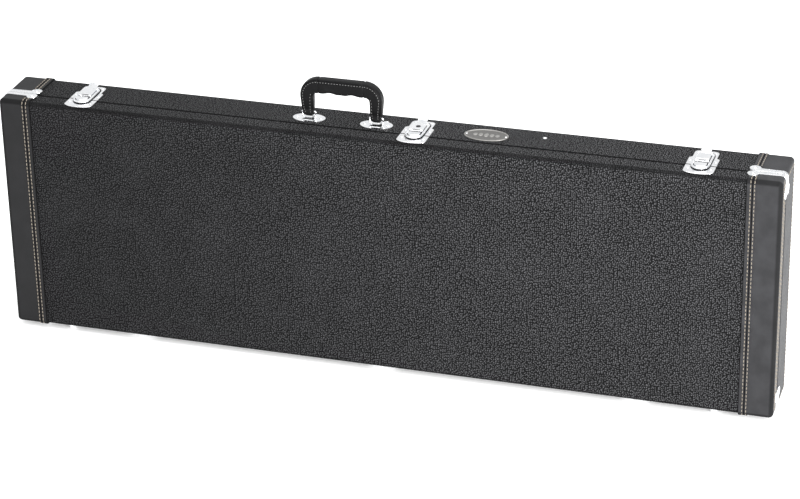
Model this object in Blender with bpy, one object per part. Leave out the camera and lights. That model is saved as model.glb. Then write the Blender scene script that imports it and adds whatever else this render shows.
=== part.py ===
"""Rectangular hard-shell case for a long-scale electric guitar or bass, standing closed on its hinged edge.

Metres, +Z up. +X runs along the case, the lid is at -Y and the body at +Y. The origin is on the ground,
below the middle of the case. Every moving piece hangs from an empty that lies on its joint's axis.
"""

import math

import bmesh
import bpy
from mathutils import Vector

# Driving dimensions of the case
CASE_LENGTH = 1.218
CASE_HEIGHT = 0.382
CASE_DEPTH = 0.099
LID_DEPTH = 0.031
WALL = 0.006
EDGE_RADIUS = 0.0055
SEAM_GAP = 0.0008
GAP = 0.0003
FACE_STEP = 0.0001
FOOT_HEIGHT = 0.0085
SHARP_ANGLE = 35

# End covers: smooth leatherette over each end, with a raised stitched band along the inner edge
COVER_LENGTH = 0.051
COVER_SKIN = 0.001
COVER_STEP = 0.001
BAND_WIDTH = 0.014
BAND_PROUD = 0.0026

# Corner guards along the rim
GUARD_THICKNESS = 0.001
GUARD_WIDTH = 0.0085
GUARD_TOP_REACH = 0.049
GUARD_END_REACH = 0.028
GUARD_LOBE_RADIUS = 0.0085
GUARD_LOBE_OFFSET = 0.009
GUARD_EDGE = 0.0004

# Latches, measured from the seam (y) and from the top face (z)
LATCH_FROM_LEFT_END = 0.128
LATCH_FROM_RIGHT_END = 0.124
LATCH_MIDDLE_X = 0.053
LATCH_HALF_WIDTH = 0.0225
PLATE_THICKNESS = 0.0012
STRIKE_REACH = 0.029
STRIKE_TIP_REACH = 0.0215
STRIKE_START = 0.001
HOOK_STRAIGHT = 0.0045
HOOK_SIDE_GAP = 0.0009
HOOK_FRONT_GAP = 0.0006
HOOK_RISE = 0.0013
HOOK_START = 0.0015
BASE_START = 0.001
BASE_SHOULDER = 0.025
BASE_REACH = 0.052
BASE_NECK_HALF_WIDTH = 0.018
BASE_CORNER = 0.007
LEVER_PIVOT_Y = 0.0075
LEVER_NOSE_RADIUS = 0.0027
LEVER_NOSE_GAP = 0.0004
LEVER_HALF_WIDTH = 0.010
LEVER_LIFT = 0.0009
LEVER_REACH = 0.037
LEVER_SHEET = 0.0012
TAB_HALF_WIDTH = 0.0075
TAB_REACH = 0.048
TAB_RISE = 0.0065
TAB_ROUND_START = 0.55
TAB_TIP_SHARE = 0.06
PIVOT_ROD_RADIUS = 0.0012
PIVOT_LUG_HALF_WIDTH = 0.005
PIVOT_LUG_RADIUS = 0.0014
LOOP_PIVOT_Y = 0.034
LOOP_WIRE = 0.0018
LOOP_SIDE_GAP = 0.0004
LOOP_END_GAP = 0.002
RUNNING_GAP = 0.00035
LOCK_Y = 0.018
LOCK_RADIUS = 0.0036
LOCK_PROUD = 0.0004
LOCK_DEPTH = 0.0045
KEYWAY_WIDTH = 0.0014
KEYWAY_LENGTH = 0.0046
KEYWAY_DEPTH = 0.003

# Handle, measured from the seam (y) and from the top face (z)
HANDLE_X = -0.067
HANDLE_FROM_SEAM = 0.021
HANDLE_SPACING = 0.1066
HANDLE_LEG_TOP_SPREAD = 0.0012
HANDLE_HEIGHT = 0.069
HANDLE_LEG_GAP = 0.00045
HANDLE_CORNER = 0.017
GRIP_HEIGHT = 0.0245
GRIP_THICKNESS = 0.017
LEG_WIDTH_LOW = 0.017
LEG_WIDTH_HIGH = 0.021
LEG_THICKNESS_LOW = 0.008
LEG_TAPER = 0.020
GRIP_SIDES = 12
GRIP_SQUARENESS = 0.5
RING_WIRE = 0.0015
RING_HEIGHT = 0.0085
RING_SIDE_GAP = 0.0006
RING_LIFT = 0.0007
OVAL_LENGTH = 0.051
OVAL_WIDTH = 0.032
OVAL_THICKNESS = 0.0015
BRIDGE_HALF_LENGTH = 0.006
BRIDGE_WALL = 0.0012
WINDOW_SIDE_GAP = 0.0005
WINDOW_DEPTH = 0.0045

# Badge, feet and hinges
BADGE_X = 0.156
BADGE_FROM_SEAM = 0.0265
BADGE_LENGTH = 0.068
BADGE_WIDTH = 0.042
BADGE_THICKNESS = 0.0014
BADGE_RIM = 0.0025
FOOT_RADIUS = 0.0075
FOOT_FLANGE = 0.001
FOOT_LEDGE = 0.0007
FOOT_STEP = 0.0004
FOOT_FLAT = 0.0028
FOOT_FROM_END = 0.089
FOOT_FROM_FACE = 0.0135
HINGE_FROM_END = 0.209
HINGE_LENGTH = 0.040
HINGE_KNUCKLE = 0.0148
HINGE_KNUCKLE_GAP = 0.0004
HINGE_BARREL = 0.0026
HINGE_PIN = 0.0012
HINGE_LEAF = 0.001
HINGE_LEAF_START = 0.0034
HINGE_LEAF_REACH = 0.022

# Padding inside
BACK_PAD = 0.008
LID_PAD = 0.010
PAD_START_X = -0.060
PAD_BELOW_RIM = 0.002
NECK_CHANNEL = 0.090
HEAD_CHANNEL = 0.150
HEAD_START_X = 0.345
HEAD_END_GAP = 0.030
CRADLE_X = 0.020
CRADLE_LENGTH = 0.060
CRADLE_HEIGHT = 0.022
CRADLE_NOTCH = 0.010
CRADLE_NOTCH_HALF = 0.030
CRADLE_NOTCH_FLOOR_HALF = 0.024
POCKET_START_X = 0.080
POCKET_LENGTH = 0.220
POCKET_WALL = 0.018
POCKET_BORDER = 0.022
POCKET_FLOOR = 0.006
POCKET_LEDGE = 0.005
POCKET_LID = 0.004
BOUT_CORNER = 0.045

# Worked out from the driving dimensions
HALF = CASE_LENGTH / 2
FRONT = -CASE_DEPTH / 2
BACK = CASE_DEPTH / 2
SEAM = FRONT + LID_DEPTH
BOTTOM = FOOT_HEIGHT
TOP = BOTTOM + CASE_HEIGHT
MIDDLE_Z = (BOTTOM + TOP) / 2
SIDES = {"left": -1, "right": 1}
PLATE_TOP = GAP + PLATE_THICKNESS
LEVER_BOTTOM = PLATE_TOP + LEVER_LIFT
LEVER_PIVOT_Z = PLATE_TOP + LEVER_NOSE_GAP + LEVER_NOSE_RADIUS
LOOP_Z = LEVER_BOTTOM + LOOP_WIRE
LEVER_TOP = LOOP_Z + LOOP_WIRE + LOOP_SIDE_GAP + LEVER_SHEET
LOOP_INSIDE = LEVER_HALF_WIDTH + LOOP_SIDE_GAP
LOOP_HALF_WIDTH = LOOP_INSIDE + LOOP_WIRE
LOOP_END_X = LEVER_HALF_WIDTH - LEVER_SHEET - LOOP_END_GAP
HOOK_HALF_WIDTH = LOOP_INSIDE - HOOK_SIDE_GAP
HOOK_FRONT = LOOP_INSIDE - HOOK_FRONT_GAP
HOOK_TOP = LOOP_Z + LOOP_WIRE + HOOK_RISE
BRIDGE_RADIUS = RING_WIRE + RUNNING_GAP + BRIDGE_WALL
HANDLE_PIVOT_Z = GAP + OVAL_THICKNESS + RING_LIFT + RING_WIRE
WINDOW_HALF_LENGTH = LEG_WIDTH_LOW / 2 + WINDOW_SIDE_GAP
FOOT_DOME = FOOT_HEIGHT - GAP - FOOT_FLANGE - FOOT_STEP
HINGE_SPREAD = HALF - HINGE_FROM_END
HINGE_DROP = HINGE_BARREL + 2 * GAP
PAD_BACK = BACK - WALL - GAP
PAD_FRONT = PAD_BACK - BACK_PAD
LATCHES = {
    "left": -HALF + LATCH_FROM_LEFT_END,
    "middle": LATCH_MIDDLE_X,
    "right": HALF - LATCH_FROM_RIGHT_END,
}


def clear_scene():
    for obj in list(bpy.data.objects):
        bpy.data.objects.remove(obj, do_unlink=True)


def finish_material(name, colour, roughness, metallic=0.0):
    material = bpy.data.materials.new(name)
    material.use_nodes = True
    shader = material.node_tree.nodes["Principled BSDF"]
    shader.inputs["Base Color"].default_value = (*colour, 1.0)
    shader.inputs["Roughness"].default_value = roughness
    shader.inputs["Metallic"].default_value = metallic
    material.diffuse_color = (*colour, 1.0)
    return material


def pivot_empty(name, location, parent=None):
    empty = bpy.data.objects.new(name, None)
    empty.empty_display_size = 0.02
    bpy.context.scene.collection.objects.link(empty)
    if parent:
        empty.parent = parent
        empty.location = Vector(location) - parent_position(parent)
    else:
        empty.location = location
    return empty


def parent_position(obj):
    position = obj.location.copy()
    while obj.parent:
        obj = obj.parent
        position += obj.location
    return position


def place(name, bm, material, pivot=None):
    """Turns a bmesh in world coordinates into a named piece whose origin is its pivot."""
    bmesh.ops.recalc_face_normals(bm, faces=bm.faces)
    if pivot:
        bmesh.ops.translate(bm, verts=bm.verts, vec=-parent_position(pivot))
    mesh = bpy.data.meshes.new(name)
    bm.to_mesh(mesh)
    bm.free()
    mesh.shade_smooth()
    mesh.set_sharp_from_angle(angle=math.radians(SHARP_ANGLE))
    mesh.materials.append(material)
    obj = bpy.data.objects.new(name, mesh)
    bpy.context.scene.collection.objects.link(obj)
    obj.parent = pivot
    return obj


def combine(operation, first, second):
    """Boolean of two closed bmeshes. Both are used up, and a new bmesh is returned."""
    pieces = []
    for bm in (first, second):
        bmesh.ops.recalc_face_normals(bm, faces=bm.faces)
        mesh = bpy.data.meshes.new("boolean_piece")
        bm.to_mesh(mesh)
        bm.free()
        obj = bpy.data.objects.new("boolean_piece", mesh)
        bpy.context.scene.collection.objects.link(obj)
        pieces.append(obj)
    modifier = pieces[0].modifiers.new("boolean", "BOOLEAN")
    modifier.operation = operation
    modifier.solver = "EXACT"
    modifier.object = pieces[1]
    bpy.context.view_layer.update()
    evaluated = pieces[0].evaluated_get(bpy.context.evaluated_depsgraph_get())
    result = bmesh.new()
    result.from_mesh(evaluated.to_mesh())
    evaluated.to_mesh_clear()
    for obj in pieces:
        mesh = obj.data
        bpy.data.objects.remove(obj, do_unlink=True)
        bpy.data.meshes.remove(mesh)
    return result


def union(first, *others):
    for other in others:
        first = combine("UNION", first, other)
    return first


def cut(first, *others):
    for other in others:
        first = combine("DIFFERENCE", first, other)
    return first


def block(low, high):
    """Box between two corners."""
    bm = bmesh.new()
    bmesh.ops.create_cube(bm, size=1.0)
    low, high = Vector(low), Vector(high)
    for vert in bm.verts:
        vert.co = [
            low[i] if vert.co[i] < 0 else high[i]
            for i in range(3)
        ]
    return bm


def rounded_block(low, high, radius, keep, segments=4):
    """Box whose edges are rounded where keep(midpoint, direction) is true."""
    bm = block(low, high)
    chosen = []
    for edge in bm.edges:
        a, b = edge.verts
        if keep((a.co + b.co) / 2, (b.co - a.co).normalized()):
            chosen.append(edge)
    bmesh.ops.bevel(
        bm, geom=chosen, offset=radius, offset_type="OFFSET", segments=segments, profile=0.5, affect="EDGES"
    )
    return bm


def prism(outline, axis, low, high):
    """Closed outline pushed along an axis. The outline gives the other two coordinates in X, Y, Z order."""
    bm = bmesh.new()
    others = [i for i in range(3) if i != axis]
    rings = []
    for level in (low, high):
        ring = []
        for first, second in outline:
            co = [0.0, 0.0, 0.0]
            co[others[0]], co[others[1]], co[axis] = first, second, level
            ring.append(bm.verts.new(co))
        rings.append(ring)
    bm.faces.new(rings[0])
    bm.faces.new(list(reversed(rings[1])))
    count = len(outline)
    for i in range(count):
        j = (i + 1) % count
        bm.faces.new((rings[0][j], rings[0][i], rings[1][i], rings[1][j]))
    return bm


def arc(centre, radius, start, end, steps, radius_2=None):
    """Points on an arc or an elliptical arc, angles in degrees."""
    points = []
    for i in range(steps + 1):
        angle = math.radians(start + (end - start) * i / steps)
        points.append((
            centre[0] + radius * math.cos(angle),
            centre[1] + (radius_2 or radius) * math.sin(angle),
        ))
    return points


def rod(centre, radius, axis, low, high, sides=16):
    """Round bar along an axis. The centre gives the other two coordinates in X, Y, Z order."""
    return prism(arc(centre, radius, 0, 360 * (sides - 1) / sides, sides - 1), axis, low, high)


def turned(profile, centre, sides=20):
    """Solid turned about a vertical axis, from (radius, z) points that begin and end on the axis."""
    bm = bmesh.new()
    rings = []
    for radius, z in profile:
        if radius == 0:
            rings.append([bm.verts.new((centre[0], centre[1], z))])
            continue
        ring = []
        for i in range(sides):
            angle = 2 * math.pi * i / sides
            ring.append(bm.verts.new((
                centre[0] + radius * math.cos(angle), centre[1] + radius * math.sin(angle), z
            )))
        rings.append(ring)
    for lower, upper in zip(rings, rings[1:]):
        for i in range(sides):
            j = (i + 1) % sides
            face = [lower[i % len(lower)], lower[j % len(lower)]]
            face += [upper[j % len(upper)], upper[i % len(upper)]]
            bm.faces.new(list(dict.fromkeys(face)))
    return bm


def loft(sections, closed=False):
    """Joins equal rings of points into a solid, with flat ends unless the rings form a closed loop."""
    bm = bmesh.new()
    rings = [[bm.verts.new(co) for co in section] for section in sections]
    count = len(rings[0])
    pairs = list(zip(rings, rings[1:]))
    if closed:
        pairs.append((rings[-1], rings[0]))
    else:
        bm.faces.new(rings[0])
        bm.faces.new(list(reversed(rings[-1])))
    for one, two in pairs:
        for i in range(count):
            j = (i + 1) % count
            bm.faces.new((one[j], one[i], two[i], two[j]))
    return bm


def wire(points, radius, plane_normal, sides=8, closed=False):
    """Round wire along points that lie in one plane, mitred at its bends."""
    points = [Vector(point) for point in points]
    normal = Vector(plane_normal).normalized()
    sections = []
    count = len(points)
    for i, point in enumerate(points):
        before = points[i - 1] if closed or i else point
        after = points[(i + 1) % count] if closed or i < count - 1 else point
        incoming = (point - before).normalized() if point != before else (after - point).normalized()
        outgoing = (after - point).normalized() if after != point else incoming
        along = (incoming + outgoing).normalized()
        side = along.cross(normal)
        stretch = 1 / max(along.dot(incoming), 0.5)
        sections.append([
            point
            + side * (radius * stretch * math.cos(2 * math.pi * k / sides))
            + normal * (radius * math.sin(2 * math.pi * k / sides))
            for k in range(sides)
        ])
    return loft(sections, closed)


def ellipse(centre, length, width, sides=36):
    return arc(centre, length / 2, 0, 360 * (sides - 1) / sides, sides - 1, width / 2)


def make_shell(half, outward, rim, face, material, pivot):
    """One half of the case: a broad panel and four walls. outward is -1 for the lid and +1 for the body."""
    inner_face = face - outward * WALL
    panel_name = "lid_front_panel" if half == "lid" else "body_back_panel"
    low_y, high_y = sorted((inner_face, face))

    def outer_edge(mid, direction):
        return abs(mid.y - face) < GAP or abs(direction.y) > 0.9

    panel = rounded_block((-HALF, low_y, BOTTOM), (HALF, high_y, TOP), EDGE_RADIUS, outer_edge)
    place(panel_name, panel, material, pivot)

    wall_low, wall_high = sorted((rim, inner_face - outward * GAP))
    for side, sign in SIDES.items():
        near, far = sorted((sign * (HALF - WALL), sign * HALF))

        def end_edge(mid, direction, far_x=sign * HALF):
            return abs(direction.y) > 0.9 and abs(mid.x - far_x) < GAP

        wall = rounded_block((near, wall_low, BOTTOM), (far, wall_high, TOP), EDGE_RADIUS, end_edge)
        place(f"{half}_{side}_wall", wall, material, pivot)
    for level, low_z in (("bottom", BOTTOM), ("top", TOP - WALL)):
        length = HALF - WALL - GAP
        wall = block((-length, wall_low, low_z), (length, wall_high, low_z + WALL))
        place(f"{half}_{level}_wall", wall, material, pivot)


def end_cover(half, outward, rim, face, sign):
    """Leatherette cover of one end of one half, with its raised band, hollowed to sit over the shell."""
    start = sign * (HALF - COVER_LENGTH)
    skin = GAP + COVER_SKIN
    end = sign * (HALF + skin)
    outer_face = face + outward * skin

    def turned_over(far_x, far_y):
        def keep(mid, direction):
            at_end = abs(mid.x - far_x) < GAP
            at_face = abs(mid.y - far_y) < GAP
            if abs(direction.x) > 0.9:
                return at_face
            if abs(direction.y) > 0.9:
                return at_end
            return at_end and at_face
        return keep

    def span(a, b, low_z, high_z, near_y, far_y):
        low_x, high_x = sorted((a, b))
        low_y, high_y = sorted((near_y, far_y))
        return (low_x, low_y, low_z), (high_x, high_y, high_z)

    skin_start = start + sign * COVER_STEP
    low, high = span(skin_start, end, BOTTOM - skin, TOP + skin, rim, outer_face)
    outer = rounded_block(low, high, EDGE_RADIUS + skin, turned_over(end, outer_face))

    band_face = face + outward * BAND_PROUD
    band_rim = rim + outward * (GUARD_LOBE_OFFSET + GUARD_LOBE_RADIUS + GAP * 2)
    band_end = start + sign * BAND_WIDTH
    low, high = span(start, band_end, BOTTOM - BAND_PROUD, TOP + BAND_PROUD, band_rim, band_face)

    def band_edge(mid, direction):
        return abs(direction.x) > 0.9 and abs(mid.y - band_face) < GAP

    band = rounded_block(low, high, EDGE_RADIUS + BAND_PROUD, band_edge)

    hollow_start = start - sign * WALL
    hollow_end = sign * (HALF + GAP)
    hollow_face = face + outward * GAP
    low, high = span(hollow_start, hollow_end, BOTTOM - GAP, TOP + GAP, rim - outward * WALL, hollow_face)
    hollow = rounded_block(low, high, EDGE_RADIUS + GAP, turned_over(hollow_end, hollow_face))
    return cut(union(outer, band), hollow)


def guard_width(distance, reach):
    """Near and far edge of a guard, measured from the rim, at a distance from its corner."""
    lobe = reach - GUARD_LOBE_RADIUS
    away = distance - lobe
    if abs(away) >= GUARD_LOBE_RADIUS:
        return GUARD_EDGE, GUARD_WIDTH
    half_chord = math.sqrt(GUARD_LOBE_RADIUS**2 - away**2)
    far = max(GUARD_WIDTH if away < 0 else 0, GUARD_LOBE_OFFSET + half_chord)
    near = GUARD_EDGE if away < 0 else max(GUARD_EDGE, GUARD_LOBE_OFFSET - half_chord)
    return near, far


def corner_guard(sign, level, outward, rim):
    """Bent metal strip along the rim round one corner, with a riveted lobe at each end."""
    corner_x = HALF - EDGE_RADIUS
    corner_z = CASE_HEIGHT / 2 - EDGE_RADIUS
    inner = EDGE_RADIUS + 2 * GAP + COVER_SKIN
    lobe_angles = (90, 68, 46, 24, 0, -24, -46, -64, -80)
    stations = []

    def leg(reach):
        lobe = reach - GUARD_LOBE_RADIUS
        return [0.0] + [lobe - GUARD_LOBE_RADIUS * math.sin(math.radians(a)) for a in lobe_angles]

    for distance in reversed(leg(GUARD_END_REACH)):
        stations.append((distance, 0.0, guard_width(distance, GUARD_END_REACH), "end"))
    for angle in (22.5, 45.0, 67.5):
        stations.append((0.0, angle, (GUARD_EDGE, GUARD_WIDTH), "bend"))
    for distance in leg(GUARD_TOP_REACH):
        stations.append((distance, 90.0, guard_width(distance, GUARD_TOP_REACH), "top"))

    sections = []
    for distance, angle, (near, far), part in stations:
        section = []
        turn = math.radians(angle)
        for thickness, width in (
            (inner, near), (inner, far), (inner + GUARD_THICKNESS, far), (inner + GUARD_THICKNESS, near)
        ):
            x = corner_x + thickness * math.cos(turn)
            z = corner_z + thickness * math.sin(turn)
            if part == "end":
                x, z = corner_x + thickness, corner_z - distance
            if part == "top":
                x, z = corner_x - distance, corner_z + thickness
            section.append((sign * x, rim + outward * width, MIDDLE_Z + level * z))
        sections.append(section)
    return loft(sections)


def strike_plate(x):
    """Plate on the lid with a curved front edge and the raised hook that the loop pulls on."""
    low = TOP + GAP
    outline = [(x + LATCH_HALF_WIDTH, SEAM - STRIKE_START), (x - LATCH_HALF_WIDTH, SEAM - STRIKE_START)]
    outline += arc(
        (x, SEAM - STRIKE_TIP_REACH), LATCH_HALF_WIDTH, 180, 360, 12, STRIKE_REACH - STRIKE_TIP_REACH
    )
    plate = prism(outline, 2, low, low + PLATE_THICKNESS)
    hook = [(x + HOOK_HALF_WIDTH, SEAM - HOOK_START), (x - HOOK_HALF_WIDTH, SEAM - HOOK_START)]
    hook += arc((x, SEAM - HOOK_STRAIGHT), HOOK_HALF_WIDTH, 180, 360, 12, HOOK_FRONT)
    return union(plate, prism(hook, 2, low + PLATE_THICKNESS / 2, TOP + HOOK_TOP))


def latch_base(x):
    """Plate on the body with a narrower rear end, and the rod that the lever turns on."""
    low = TOP + GAP
    high = low + PLATE_THICKNESS
    start = SEAM + BASE_START
    shoulder = SEAM + BASE_SHOULDER
    rear = SEAM + BASE_REACH
    neck = BASE_NECK_HALF_WIDTH
    outline = [(x - LATCH_HALF_WIDTH, start), (x + LATCH_HALF_WIDTH, start), (x + LATCH_HALF_WIDTH, shoulder)]
    outline += [(x + neck, shoulder + BASE_CORNER / 2)]
    outline += arc((x + neck - BASE_CORNER, rear - BASE_CORNER), BASE_CORNER, 0, 90, 5)
    outline += arc((x - neck + BASE_CORNER, rear - BASE_CORNER), BASE_CORNER, 90, 180, 5)
    outline += [(x - neck, shoulder + BASE_CORNER / 2), (x - LATCH_HALF_WIDTH, shoulder)]
    plate = prism(outline, 2, low, high)
    pivot = (SEAM + LEVER_PIVOT_Y, TOP + LEVER_PIVOT_Z)
    lug_outline = arc(pivot, PIVOT_LUG_RADIUS, 0, 180, 8)
    lug_outline += [(pivot[0] - PIVOT_LUG_RADIUS, low + PLATE_THICKNESS / 2)]
    lug_outline += [(pivot[0] + PIVOT_LUG_RADIUS, low + PLATE_THICKNESS / 2)]
    lug = prism(lug_outline, 0, x - PIVOT_LUG_HALF_WIDTH, x + PIVOT_LUG_HALF_WIDTH)
    rod_half = LEVER_HALF_WIDTH - FACE_STEP
    pivot_rod = rod(pivot, PIVOT_ROD_RADIUS, 0, x - rod_half, x + rod_half, 12)
    return union(plate, lug, pivot_rod)


def latch_lever(x, locking):
    """Pressed channel that turns on the base's rod, with a thumb tab curled up at its free end."""
    pivot = (SEAM + LEVER_PIVOT_Y, TOP + LEVER_PIVOT_Z)
    top = TOP + LEVER_TOP
    bottom = TOP + LEVER_BOTTOM
    rear = SEAM + LEVER_REACH
    side = arc(pivot, LEVER_NOSE_RADIUS, 95, 235, 9)
    side += [(pivot[0], bottom), (rear, bottom + LEVER_SHEET)]
    side += [(rear, top), (pivot[0] + LEVER_NOSE_RADIUS / 2, top)]
    channel = prism(side, 0, x - LEVER_HALF_WIDTH, x + LEVER_HALF_WIDTH)
    inside = LEVER_HALF_WIDTH - LEVER_SHEET
    hollow = block(
        (x - inside, pivot[0] - WALL, bottom - WALL), (x + inside, rear + WALL, top - LEVER_SHEET)
    )
    channel = cut(channel, hollow)

    sections = []
    tab_start = rear - LEVER_SHEET
    tab_length = SEAM + TAB_REACH - tab_start
    steps = 10
    for i in range(steps + 1):
        share = i / steps
        y = tab_start + tab_length * share
        lift = TAB_RISE * share**2
        round_end = max(0.0, (share - TAB_ROUND_START) / (1 - TAB_ROUND_START))
        half = TAB_HALF_WIDTH * math.sqrt(max(1 - round_end**2, TAB_TIP_SHARE))
        sections.append([
            (x - half, y, top - LEVER_SHEET + lift),
            (x + half, y, top - LEVER_SHEET + lift),
            (x + half, y, top + lift),
            (x - half, y, top + lift),
        ])
    lever = union(channel, loft(sections))

    far = LEVER_HALF_WIDTH + WALL
    rod_hole = rod(pivot, PIVOT_ROD_RADIUS + RUNNING_GAP, 0, x - far, x + far, 12)
    loop_centre = (SEAM + LOOP_PIVOT_Y, TOP + LOOP_Z)
    loop_hole = rod(loop_centre, LOOP_WIRE + RUNNING_GAP, 0, x - far, x + far, 12)
    lever = cut(lever, rod_hole, loop_hole)
    if locking:
        lock_centre = (x, SEAM + LOCK_Y)
        lever = cut(lever, rod(lock_centre, LOCK_RADIUS + GAP, 2, bottom, top + WALL, 24))
    return lever


def latch_loop(x):
    """Wire loop: its ends turn inwards through the lever's sides and its front lies round the hook."""
    z = TOP + LOOP_Z
    rear = SEAM + LOOP_PIVOT_Y
    bend = LOOP_WIRE
    points = [(-LOOP_END_X, rear)]
    points += arc((bend - LOOP_HALF_WIDTH, rear - bend), bend, 90, 180, 2)
    points += arc((0.0, SEAM - HOOK_STRAIGHT), LOOP_HALF_WIDTH, 180, 360, 16)
    points += arc((LOOP_HALF_WIDTH - bend, rear - bend), bend, 0, 90, 2)
    points += [(LOOP_END_X, rear)]
    return wire([(x + px, py, z) for px, py in points], LOOP_WIRE, (0, 0, 1))


def lock_plug(x):
    """Round lock cylinder in the middle lever, with a keyway across its face."""
    centre = (x, SEAM + LOCK_Y)
    face = TOP + LEVER_TOP + LOCK_PROUD
    plug = rod(centre, LOCK_RADIUS, 2, face - LOCK_DEPTH, face, 24)
    keyway = block(
        (x - KEYWAY_LENGTH / 2, centre[1] - KEYWAY_WIDTH / 2, face - KEYWAY_DEPTH),
        (x + KEYWAY_LENGTH / 2, centre[1] + KEYWAY_WIDTH / 2, face + KEYWAY_DEPTH),
    )
    return cut(plug, keyway)


def handle_grip():
    """Padded handle: a flat leg at each end, rounded corners and a deeper grip between them."""
    y = SEAM + HANDLE_FROM_SEAM
    base = TOP + HANDLE_PIVOT_Z
    low = base + BRIDGE_RADIUS + HANDLE_LEG_GAP
    high = TOP + HANDLE_HEIGHT - GRIP_HEIGHT / 2
    foot = HANDLE_SPACING / 2
    shoulder = foot + HANDLE_LEG_TOP_SPREAD
    corner_z = high - HANDLE_CORNER
    corner_x = shoulder - HANDLE_CORNER
    leg_levels = [low, base + LEG_TAPER / 2, base + LEG_TAPER]
    right = []
    for z in leg_levels + [corner_z]:
        share = (z - low) / (corner_z - low)
        taper = min(1.0, (z - low) / (base + LEG_TAPER - low))
        width = LEG_WIDTH_LOW + (LEG_WIDTH_HIGH - LEG_WIDTH_LOW) * share
        thickness = LEG_THICKNESS_LOW + (GRIP_THICKNESS - LEG_THICKNESS_LOW) * taper
        right.append((foot + (shoulder - foot) * share, z, 0.0, width, thickness))
    for px, pz in arc((corner_x, corner_z), HANDLE_CORNER, 18, 90, 4):
        angle = math.atan2(pz - corner_z, px - corner_x)
        width = LEG_WIDTH_HIGH + (GRIP_HEIGHT - LEG_WIDTH_HIGH) * angle / (math.pi / 2)
        right.append((px, pz, angle, width, GRIP_THICKNESS))
    left = [(-px, pz, math.pi - angle, width, thick) for px, pz, angle, width, thick in reversed(right)]

    sections = []
    for px, pz, angle, width, thickness in right + left:
        outward = Vector((math.cos(angle), 0, math.sin(angle)))
        ring = []
        for k in range(GRIP_SIDES):
            turn = 2 * math.pi * (k + 0.5) / GRIP_SIDES
            c, s = math.cos(turn), math.sin(turn)
            across = math.copysign(abs(c) ** GRIP_SQUARENESS, c) * width / 2
            thick = math.copysign(abs(s) ** GRIP_SQUARENESS, s) * thickness / 2
            ring.append(Vector((HANDLE_X + px, y + thick, pz)) + outward * across)
        sections.append(ring)
    grip = loft(sections)
    for sign in (-1, 1):
        x = HANDLE_X + sign * foot
        reach = LEG_WIDTH_HIGH
        hole = rod((y, base + RING_HEIGHT), RING_WIRE + RUNNING_GAP, 0, x - reach, x + reach, 12)
        grip = cut(grip, hole)
    return grip


def handle_ring(x):
    """Rectangular wire ring through the leg and under the plate's bridge."""
    y = SEAM + HANDLE_FROM_SEAM
    low = TOP + HANDLE_PIVOT_Z
    high = low + RING_HEIGHT
    half = LEG_WIDTH_LOW / 2 + RING_SIDE_GAP + RING_WIRE
    bend = RING_WIRE
    points = []
    for cx, cz, start in (
        (half - bend, high - bend, 0), (bend - half, high - bend, 90), (bend - half, low + bend, 180),
        (half - bend, low + bend, 270),
    ):
        points += arc((cx, cz), bend, start, start + 90, 2)
    return wire([(x + px, y, pz) for px, pz in points], RING_WIRE, (0, 1, 0), closed=True)


def oval_plate(x):
    """Oval plate under one end of the handle, with a bridge over the ring and a window on each side of it."""
    y = SEAM + HANDLE_FROM_SEAM
    low = TOP + GAP
    pivot_z = TOP + HANDLE_PIVOT_Z
    outer = BRIDGE_RADIUS
    plate = prism(ellipse((x, y), OVAL_LENGTH, OVAL_WIDTH), 2, low, low + OVAL_THICKNESS)
    bridge = arc((y, pivot_z), outer, 0, 180, 8)
    bridge += [(y - outer, low + OVAL_THICKNESS / 2), (y + outer, low + OVAL_THICKNESS / 2)]
    plate = union(plate, prism(bridge, 0, x - BRIDGE_HALF_LENGTH, x + BRIDGE_HALF_LENGTH))
    bore = rod((y, pivot_z), RING_WIRE + RUNNING_GAP, 0, x - OVAL_LENGTH, x + OVAL_LENGTH, 12)
    plate = cut(plate, bore)
    for sign in (-1, 1):
        near, far = sorted((y + sign * (outer + GAP), y + sign * (outer + WINDOW_DEPTH)))
        window = block((x - WINDOW_HALF_LENGTH, near, low - WALL), (x + WINDOW_HALF_LENGTH, far, low + WALL))
        plate = cut(plate, window)
    return plate


def badge():
    """Thin oval plate with a raised rim line."""
    centre = (BADGE_X, SEAM + BADGE_FROM_SEAM)
    low = TOP + GAP
    plate = prism(ellipse(centre, BADGE_LENGTH, BADGE_WIDTH), 2, low, low + BADGE_THICKNESS)
    field = prism(
        ellipse(centre, BADGE_LENGTH - 2 * BADGE_RIM, BADGE_WIDTH - 2 * BADGE_RIM), 2,
        low + BADGE_THICKNESS - GAP, low + 2 * BADGE_THICKNESS,
    )
    return cut(plate, field)


def foot(x, y):
    """Domed foot, flat where it stands."""
    high = BOTTOM - GAP
    profile = [(0, high), (FOOT_RADIUS, high), (FOOT_RADIUS, high - FOOT_FLANGE)]
    dome_radius = FOOT_RADIUS - FOOT_LEDGE - FOOT_FLAT
    profile += arc((FOOT_FLAT, FOOT_DOME), dome_radius, 0, -90, 6, FOOT_DOME)
    return turned(profile + [(0, 0)], (x, y))


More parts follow.
